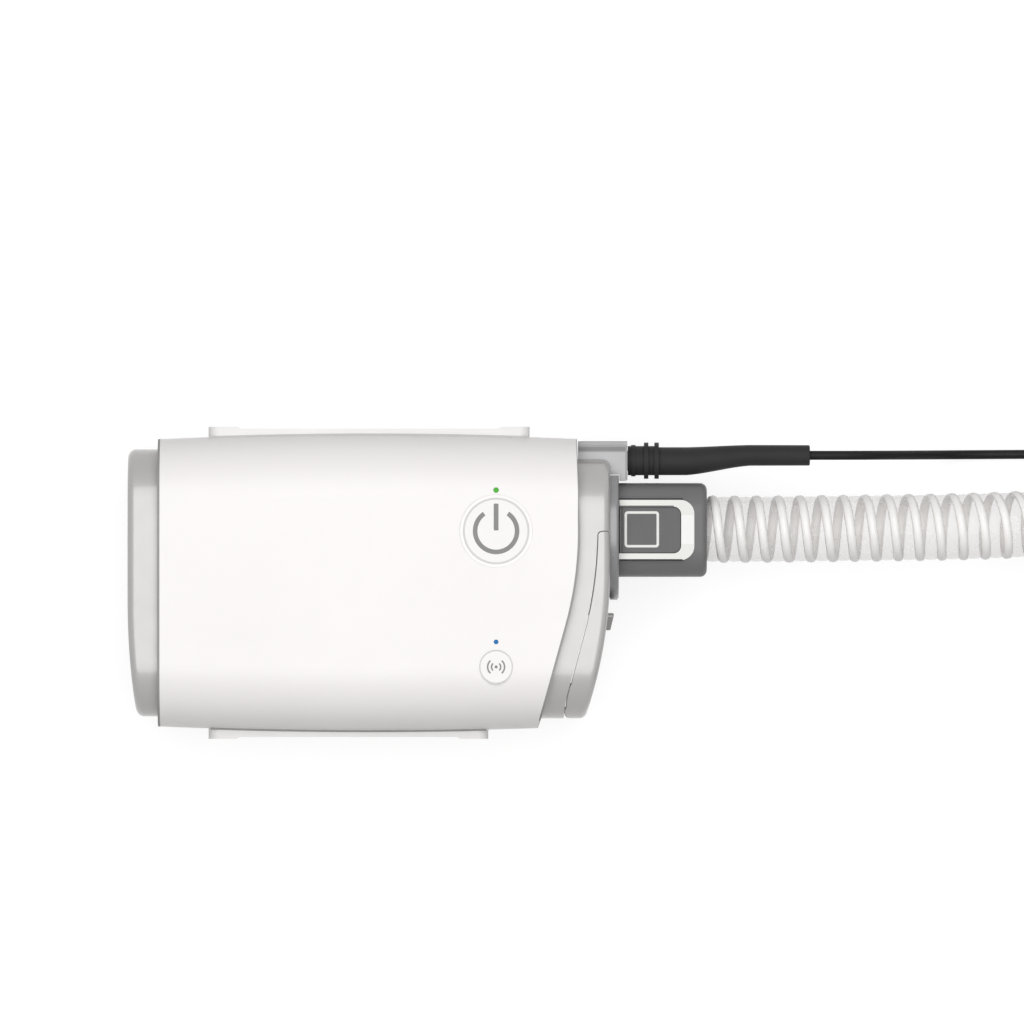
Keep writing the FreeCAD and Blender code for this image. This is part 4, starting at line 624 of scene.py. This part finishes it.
def lead_coil_point(step):
    """Where the lead is in its coil: each turn ends by crossing to the place of the next."""
    number, step_in_turn = divmod(step, steps_per_turn)
    swept = step_in_turn * LEAD_STEP
    share = smooth_step((swept - (360 - CROSSING)) / CROSSING)
    places = zip(lead_place(number), lead_place(min(number + 1, LEAD_TURNS - 1)))
    radius, height = (here + (following - here) * share for here, following in places)
    radius /= math.cos(math.radians(LEAD_STEP / 2))
    return on_circle(LEAD_COIL_MM, radius, LEAD_FIRST + swept, height)


lead_route = [
    *LEAD_START_MM,
    *(lead_coil_point(step) for step in range(1, LEAD_TURNS * steps_per_turn)),
    *(on_circle(LEAD_COIL_MM, radius, angle, height) for angle, radius, height in LEAD_PEEL),
    *LEAD_TAIL_MM,
]
power_lead = nurbs_curve("power_lead", lead_route)
power_lead.data.resolution_u = LEAD_FINENESS
power_lead.data.bevel_depth = LEAD_RADIUS_MM / 1000
power_lead.data.bevel_resolution = LEAD_ROUNDNESS
power_lead.data.use_fill_caps = True
power_lead.data.materials.append(MATERIALS["lead_black"])
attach(power_lead, "lead")
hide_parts("lead_tube", "lead_coil", "lead_tail")

# ---------------------------------------------------------------- marks on buttons and cuff

# X and Y of each button's middle, and Z of its top
BUTTON_MM = (32.25, 14.15, 51.2)
WIRELESS_MM = (32.25, -22.8, 51.1)
MARK_HIGH_MM = 0.05
# the symbols: radii, half widths and corners; RING_ENDS and WAVE_SPREAD are angles in degrees,
# and WAVES holds each wave's radius and the side that it faces
RING_MM = (5.085, 6.325)
RING_ENDS = (124.6, 416.1)
RING_POINTS = 97
BAR_HALF_MM = 0.65
BAR_ENDS_MM = (14.3, 21.6)
BAR_CORNER_MM = 0.2
BAR_CORNER_STEPS = 3
WAVES = ((1.25, 0), (1.25, 180), (2.3, 0), (2.3, 180))
WAVE_HALF_MM = 0.21
WAVE_SPREAD = 48
WAVE_POINTS = 25
DOT_MM = 0.42
DOT_POINTS = 36
SQUARE_MM = (67.2, 76.6, 9.65, 19.5)
SQUARE_STROKE_MM = 0.68
SQUARE_CORNERS_MM = (0.3, 0.9)
RELEASE_TOPS_MM = {"release_top": 38.95, "release_bottom": 14.25}


def mark_levels(top):
    """The low and high Z of a mark on a face at a height."""
    return top - MARK_HIGH_MM, top + MARK_HIGH_MM


ring = band(
    circle_points(BUTTON_MM, RING_MM[0], *RING_ENDS, RING_POINTS),
    circle_points(BUTTON_MM, RING_MM[1], *RING_ENDS, RING_POINTS),
    *mark_levels(BUTTON_MM[2]),
    closed=False,
)
new_piece("power_ring_mark", *ring, "power_button", "button_white", "symbol", smooth=False)
bar_x = (BUTTON_MM[0] - BAR_HALF_MM, BUTTON_MM[0] + BAR_HALF_MM)
plate(
    "power_bar_mark",
    rounded_rect(*bar_x, *BAR_ENDS_MM, BAR_CORNER_MM, BAR_CORNER_STEPS),
    *mark_levels(BUTTON_MM[2]),
    "power_button",
    "button_white",
    "symbol",
)

for number, (radius, side) in enumerate(WAVES):
    ends = (side - WAVE_SPREAD, side + WAVE_SPREAD)
    wave = band(
        circle_points(WIRELESS_MM, radius - WAVE_HALF_MM, *ends, WAVE_POINTS),
        circle_points(WIRELESS_MM, radius + WAVE_HALF_MM, *ends, WAVE_POINTS),
        *mark_levels(WIRELESS_MM[2]),
        closed=False,
    )
    name = f"radio_wave_mark_{number}"
    new_piece(name, *wave, "wireless_button", "button_white", "symbol", smooth=False)
plate(
    "radio_dot_mark",
    full_circle(WIRELESS_MM, DOT_MM, DOT_POINTS),
    *mark_levels(WIRELESS_MM[2]),
    "wireless_button",
    "button_white",
    "symbol",
)

for body, height in RELEASE_TOPS_MM.items():
    x0, x1, y0, y1 = SQUARE_MM
    stroke = SQUARE_STROKE_MM
    square = band(
        rounded_rect(x0 + stroke, x1 - stroke, y0 + stroke, y1 - stroke, SQUARE_CORNERS_MM[0]),
        rounded_rect(x0, x1, y0, y1, SQUARE_CORNERS_MM[1]),
        *mark_levels(height),
        closed=True,
    )
    new_piece(f"{body}_square_mark", *square, body, "stripe_white", "mark_white", smooth=False)

# ---------------------------------------------------------------- painted shade and highlights at gaps and edges, and the cuff's lips


def some_faces(node, keep):
    """Those faces of a CAD node that keep says yes to, joined along their edges."""
    shape = bmesh.new()
    shape.from_mesh(nodes[node].data)
    drop = [face for face in shape.faces if not keep(face)]
    bmesh.ops.delete(shape, geom=drop, context="FACES")
    bmesh.ops.remove_doubles(shape, verts=shape.verts, dist=SAME_PLACE)
    return shape


def thin_solid(shape, move):
    """Vertices in millimetres and faces of a closed solid between two copies of a shape.

    move(vert, copy) shifts a vertex of the first copy, number 0, or of the second, number 1."""
    made = bmesh.ops.extrude_face_region(shape, geom=shape.faces[:], use_keep_orig=True)
    copied = {item for item in made["geom"] if isinstance(item, bmesh.types.BMVert)}
    for vert in shape.verts:
        move(vert, vert in copied)
    bmesh.ops.recalc_face_normals(shape, faces=shape.faces)

    # bmesh keeps no fixed order here, so both lists are sorted: each run gives the same mesh
    order = sorted(shape.verts, key=lambda vert: tuple(vert.co))
    place = {vert: k for k, vert in enumerate(order)}
    faces = []
    for face in shape.faces:
        corners = [place[vert] for vert in face.verts]
        start = corners.index(min(corners))
        faces.append(corners[start:] + corners[:start])
    verts = [tuple(vert.co * 1000) for vert in order]
    shape.free()
    return verts, sorted(faces)


def grown(name, node, chosen, reach, body, slot, look, spread=0.0):
    """A thin solid grown along X from those faces of a node that are chosen.

    chosen is asked about a face's middle and normal, reach gives the solid's two X shifts at a
    point, and spread is a shift away from the long axis, all in millimetres."""
    shape = some_faces(node, lambda face: chosen(face.calc_center_median() * 1000, face.normal))
    for vert in shape.verts:
        away = Vector((0, vert.co.y, vert.co.z - AXIS_Z_MM / 1000)).normalized()
        vert.co += away * spread / 1000

    def move(vert, copy):
        vert.co.x += reach(vert.co * 1000)[copy] / 1000

    new_piece(name, *thin_solid(shape, move), body, slot, look, smooth=False)


def mouth_reach(spot):
    """The mouth's painted shade line starts behind the rim, but not near the rear, and is thinner
    in front.
    """
    fade = smooth_step((spot.y + 38) / 1.2)
    return -0.36 * smooth_step((26 - spot.y) / 12) * fade, 0.04 + 0.16 * fade


CAP_GAP_MM = -0.6
CUFF_LIP_MM = -0.23
# painted shade: dark lines in the gaps at the sleeve's mouth and at its cap
grown(
    "mouth_gap_shade",
    "outer_sleeve",
    lambda spot, facing: facing.x > 0.6 and spot.x > 42,
    mouth_reach,
    "machine",
    "grey_shell",
    "gap_grey",
    spread=0.04,
)
grown(
    "cap_gap_shade",
    "outer_sleeve",
    lambda spot, facing: facing.x < -0.6 and spot.x < -50,
    lambda spot: (0.0, CAP_GAP_MM),
    "machine",
    "grey_shell",
    "gap_grey",
)
for node, slot in (("hose_cuff", "cuff_grey"), ("cuff_stripe", "stripe_white")):
    grown(
        f"{node}_lip",
        node,
        lambda spot, facing: facing.x < -0.9 and 65.9 < spot.x < 66.0 and abs(spot.y - 14.4) > 7.5,
        lambda spot: (0.0, CUFF_LIP_MM),
        "hose",
        slot,
        slot,
    )

# where rays towards the sleeve start, and painted shade lines along the two pads, lighter on the
# rear one
BESIDE_MM = 60
ABOVE_MM = 80
PAD_TOP_MM = 35.1
PAD_SHADE_LEVELS_MM = (PAD_TOP_MM - 0.1, PAD_TOP_MM + 0.04)
PAD_SHADE_MM = (0.28, 0.24)
PAD_SHADE_POINTS = 40


def sleeve_edge(x, side):
    """The sleeve's outer Y at half its height."""
    start, heading = mm((x, side * BESIDE_MM, AXIS_Z_MM)), Vector((0, -side, 0))
    return nodes["outer_sleeve"].ray_cast(start, heading)[1].y * 1000


def sleeve_top(x, y):
    """The sleeve's outer Z over a point."""
    hit = nodes["outer_sleeve"].ray_cast(mm((x, y, ABOVE_MM)), Vector((0, 0, -1)))
    return hit[1].z * 1000


# painted shade along the seams where the pads meet the sleeve: darker in front, lighter at the rear
for name, side, ends, look in (
    ("rear_pad_line", 1, (-45.6, 40.9), "tab_light"),
    ("front_pad_line", -1, (-45.6, 29.6), "gap_grey"),
):
    stops = [(x, sleeve_edge(x, side)) for x in np.linspace(*ends, PAD_SHADE_POINTS)]
    edge = [(x, y - side * PAD_SHADE_MM[0]) for x, y in stops]
    away = [(x, y + side * PAD_SHADE_MM[1]) for x, y in stops]
    line = band(edge, away, *PAD_SHADE_LEVELS_MM, closed=False)
    new_piece(name, *line, "machine", "pad_white", look, smooth=False)

# painted shade: grey rings in the gaps round the buttons, and a slightly darker brim round the dish
# that the large one lies in
RIM_LEVELS_MM = (-0.3, 0.015)
for name, centre, inner, outer in (
    ("power_button_rim", BUTTON_MM, 8.5, 9.04),
    ("wireless_button_rim", WIRELESS_MM, 4.22, 4.6),
):
    levels = (centre[2] + level for level in RIM_LEVELS_MM)
    rim = band(full_circle(centre, inner), full_circle(centre, outer), *levels, closed=True)
    new_piece(name, *rim, name.removesuffix("_rim"), "button_white", "ring_grey", smooth=False)

DISH_MM = (9.72, 9.98)
DISH_LEVELS_MM = (-0.1, 0.015)
dish, brim = (full_circle(BUTTON_MM, radius) for radius in DISH_MM)
verts, faces = band(dish, brim, *DISH_LEVELS_MM, closed=True)
verts = [(x, y, z + sleeve_top(x, y)) for x, y, z in verts]
new_piece("power_dish_shade", verts, faces, "machine", "white_shell", "dish_brim_shade", smooth=False)

# painted shade: darker bands on the socket housing's sloped ledge, along its edge and at its end
for name, box, look in (
    ("socket_edge_line", (54.9, 67.9, 38.3, 38.6, 32.1, 32.24), "ledge_soft"),
    ("socket_ledge_upper", (54.7, 67.6, 37.0, 37.42, 34.5, 34.64), "ledge_soft"),
    ("socket_ledge_middle", (54.7, 67.6, 35.95, 37.0, 34.5, 34.64), "ledge_grey"),
    ("socket_ledge_lower", (54.7, 67.6, 35.6, 35.95, 34.5, 34.64), "ledge_soft"),
    ("socket_end_line", (67.45, 68.02, 28.0, 37.2, 34.4, 34.66), "ledge_soft"),
):
    box_plate(name, box, "machine", "socket_grey", look)

# painted shade: dark lines where the filter cover meets the end frame, at its hinge and along its
# seam
HINGE_SHADE_MM = -0.26
SEAM_SHADE_MM = (-0.11, -0.07)
for name, chosen, reach in (
    (
        "cover_hinge_lip",
        lambda spot, facing: facing.x < -0.35 and spot.y < -27.6 and spot.x < 52.9,
        lambda spot: (0.0, HINGE_SHADE_MM),
    ),
    (
        "cover_seam_lip",
        lambda spot, facing: facing.x < -0.8 and (spot.z > 46.7 or spot.y > -8 and spot.x < 60),
        lambda spot: (0.0, SEAM_SHADE_MM[0] + SEAM_SHADE_MM[1] * smooth_step((spot.y + 22) / 5)),
    ),
):
    grown(name, "filter_cover", chosen, reach, "cover", "grey_shell", "gap_grey")

# the finger tab in a darker grey, with a painted highlight along its upper edge
TAB_FROM_X_MM = 62.9
TAB_Y_MM = (-13.05, -8.1)
TAB_Z_MM = (20.4, 32.8)
TAB_SKIN_MM = (-0.1, 0.03)
TAB_HIGHLIGHT_MM = ((62.5, -9.3), (64.0, -9.3), (64.1, -8.85), (62.5, -8.85))
TAB_HIGHLIGHT_LEVELS_MM = (32.5, 32.68)


def on_tab(face):
    """Whether a face of the cover lies wholly on its finger tab."""
    spots = [vert.co * 1000 for vert in face.verts]
    inside = all(
        TAB_Y_MM[0] < spot.y < TAB_Y_MM[1] and TAB_Z_MM[0] < spot.z < TAB_Z_MM[1]
        for spot in spots
    )
    return inside and max(spot.x for spot in spots) > TAB_FROM_X_MM


def tab_skin():
    """A thin closed skin over the cover's faces that lie wholly on its finger tab."""
    shape = some_faces("filter_cover", on_tab)
    shape.normal_update()
    facing = {tuple(vert.co): vert.normal.copy() for vert in shape.verts}

    def move(vert, copy):
        vert.co += facing[tuple(vert.co)] * TAB_SKIN_MM[copy] / 1000

    return thin_solid(shape, move)


new_piece("tab_skin", *tab_skin(), "cover", "grey_shell", "tab_grey", smooth=False)
plate("tab_edge_highlight", TAB_HIGHLIGHT_MM, *TAB_HIGHLIGHT_LEVELS_MM, "cover", "grey_shell", "tab_light")

# painted shadow lines along the raised stripe's edges, a grey strip along the inner edge of its
# upper arm, and a painted highlight on its bar
for name, box, look in (
    ("stripe_line_upper", (65.75, 83.0, 22.64, 22.98, 38.9, 39.34), "outline_dark"),
    ("stripe_line_lower", (65.75, 83.0, 6.06, 6.46, 38.9, 39.34), "outline_dark"),
    ("stripe_line_inner", (65.75, 80.6, 20.66, 21.06, 38.9, 39.34), "release_grey"),
    ("stripe_bar", (82.75, 86.12, 10.6, 18.45, 39.1, 39.335), "stripe_bright"),
):
    box_plate(name, box, "hose", "stripe_white", look)

# ---------------------------------------------------------------- floor and light

FLOOR_HALF = 12.0
FLOOR_COLOUR = (0.5, 0.5, 0.5, 1)
FLOOR_SEEN_COLOUR = (0.3, 0.3, 0.3, 1)
FLOOR_SEEN_GLOW = 0.8
WHITE = (1, 1, 1, 1)
WORLD_STRENGTH = 0.18
WORLD_SEEN_STRENGTH = 1.0
LIGHT_SIZE = 5.0
LIGHT_POWER = 183.0
LIGHT_SPOT = (0.05, 0.5, 4.0)
LIGHT_AIM = (0.05, 0.0, 0.0)


def seen_directly(tree):
    """A mix that takes its second shader for rays from the camera, a reflection or clear film."""
    path = tree.nodes.new("ShaderNodeLightPath")
    either = path.outputs["Is Camera Ray"]
    for ray in ("Is Glossy Ray", "Is Transmission Ray"):
        larger = tree.nodes.new("ShaderNodeMath")
        larger.operation = "MAXIMUM"
        tree.links.new(either, larger.inputs[0])
        tree.links.new(path.outputs[ray], larger.inputs[1])
        either = larger.outputs["Value"]
    choice = tree.nodes.new("ShaderNodeMixShader")
    tree.links.new(either, choice.inputs["Fac"])
    return choice


floor_mesh = bpy.data.meshes.new("floor")
shape = bmesh.new()
bmesh.ops.create_grid(shape, x_segments=4, y_segments=4, size=FLOOR_HALF)
shape.to_mesh(floor_mesh)
shape.free()
floor = bpy.data.objects.new("floor", floor_mesh)
scene.collection.objects.link(floor)
paper = bpy.data.materials.new("floor")
paper.use_nodes = True
tree = paper.node_tree
shader = tree.nodes["Principled BSDF"]
shader.inputs["Base Color"].default_value = FLOOR_COLOUR
shader.inputs["Roughness"].default_value = 0.9
shader.inputs["Specular IOR Level"].default_value = 0.1
seen = tree.nodes.new("ShaderNodeBsdfDiffuse")
seen.inputs["Color"].default_value = FLOOR_SEEN_COLOUR
glow = tree.nodes.new("ShaderNodeEmission")
glow.inputs["Strength"].default_value = FLOOR_SEEN_GLOW
both = tree.nodes.new("ShaderNodeAddShader")
choice = seen_directly(tree)
tree.links.new(shader.outputs["BSDF"], choice.inputs[1])
tree.links.new(seen.outputs["BSDF"], both.inputs[0])
tree.links.new(glow.outputs["Emission"], both.inputs[1])
tree.links.new(both.outputs["Shader"], choice.inputs[2])
tree.links.new(choice.outputs["Shader"], tree.nodes["Material Output"].inputs["Surface"])
floor_mesh.materials.append(paper)

world = bpy.data.worlds.new("studio")
scene.world = world
world.use_nodes = True
tree = world.node_tree
around = tree.nodes["Background"]
around.inputs["Color"].default_value = WHITE
around.inputs["Strength"].default_value = WORLD_STRENGTH
seen = tree.nodes.new("ShaderNodeBackground")
seen.inputs["Color"].default_value = WHITE
seen.inputs["Strength"].default_value = WORLD_SEEN_STRENGTH
choice = seen_directly(tree)
tree.links.new(around.outputs["Background"], choice.inputs[1])
tree.links.new(seen.outputs["Background"], choice.inputs[2])
tree.links.new(choice.outputs["Shader"], tree.nodes["World Output"].inputs["Surface"])

light = bpy.data.lights.new("overhead", "AREA")
light.shape = "RECTANGLE"
light.size = LIGHT_SIZE
light.size_y = LIGHT_SIZE
light.energy = LIGHT_POWER
overhead = bpy.data.objects.new("overhead", light)
overhead.location = LIGHT_SPOT
overhead.rotation_mode = "QUATERNION"
overhead.rotation_quaternion = (Vector(LIGHT_AIM) - Vector(LIGHT_SPOT)).to_track_quat("-Z", "Y")
overhead.visible_camera = False
scene.collection.objects.link(overhead)
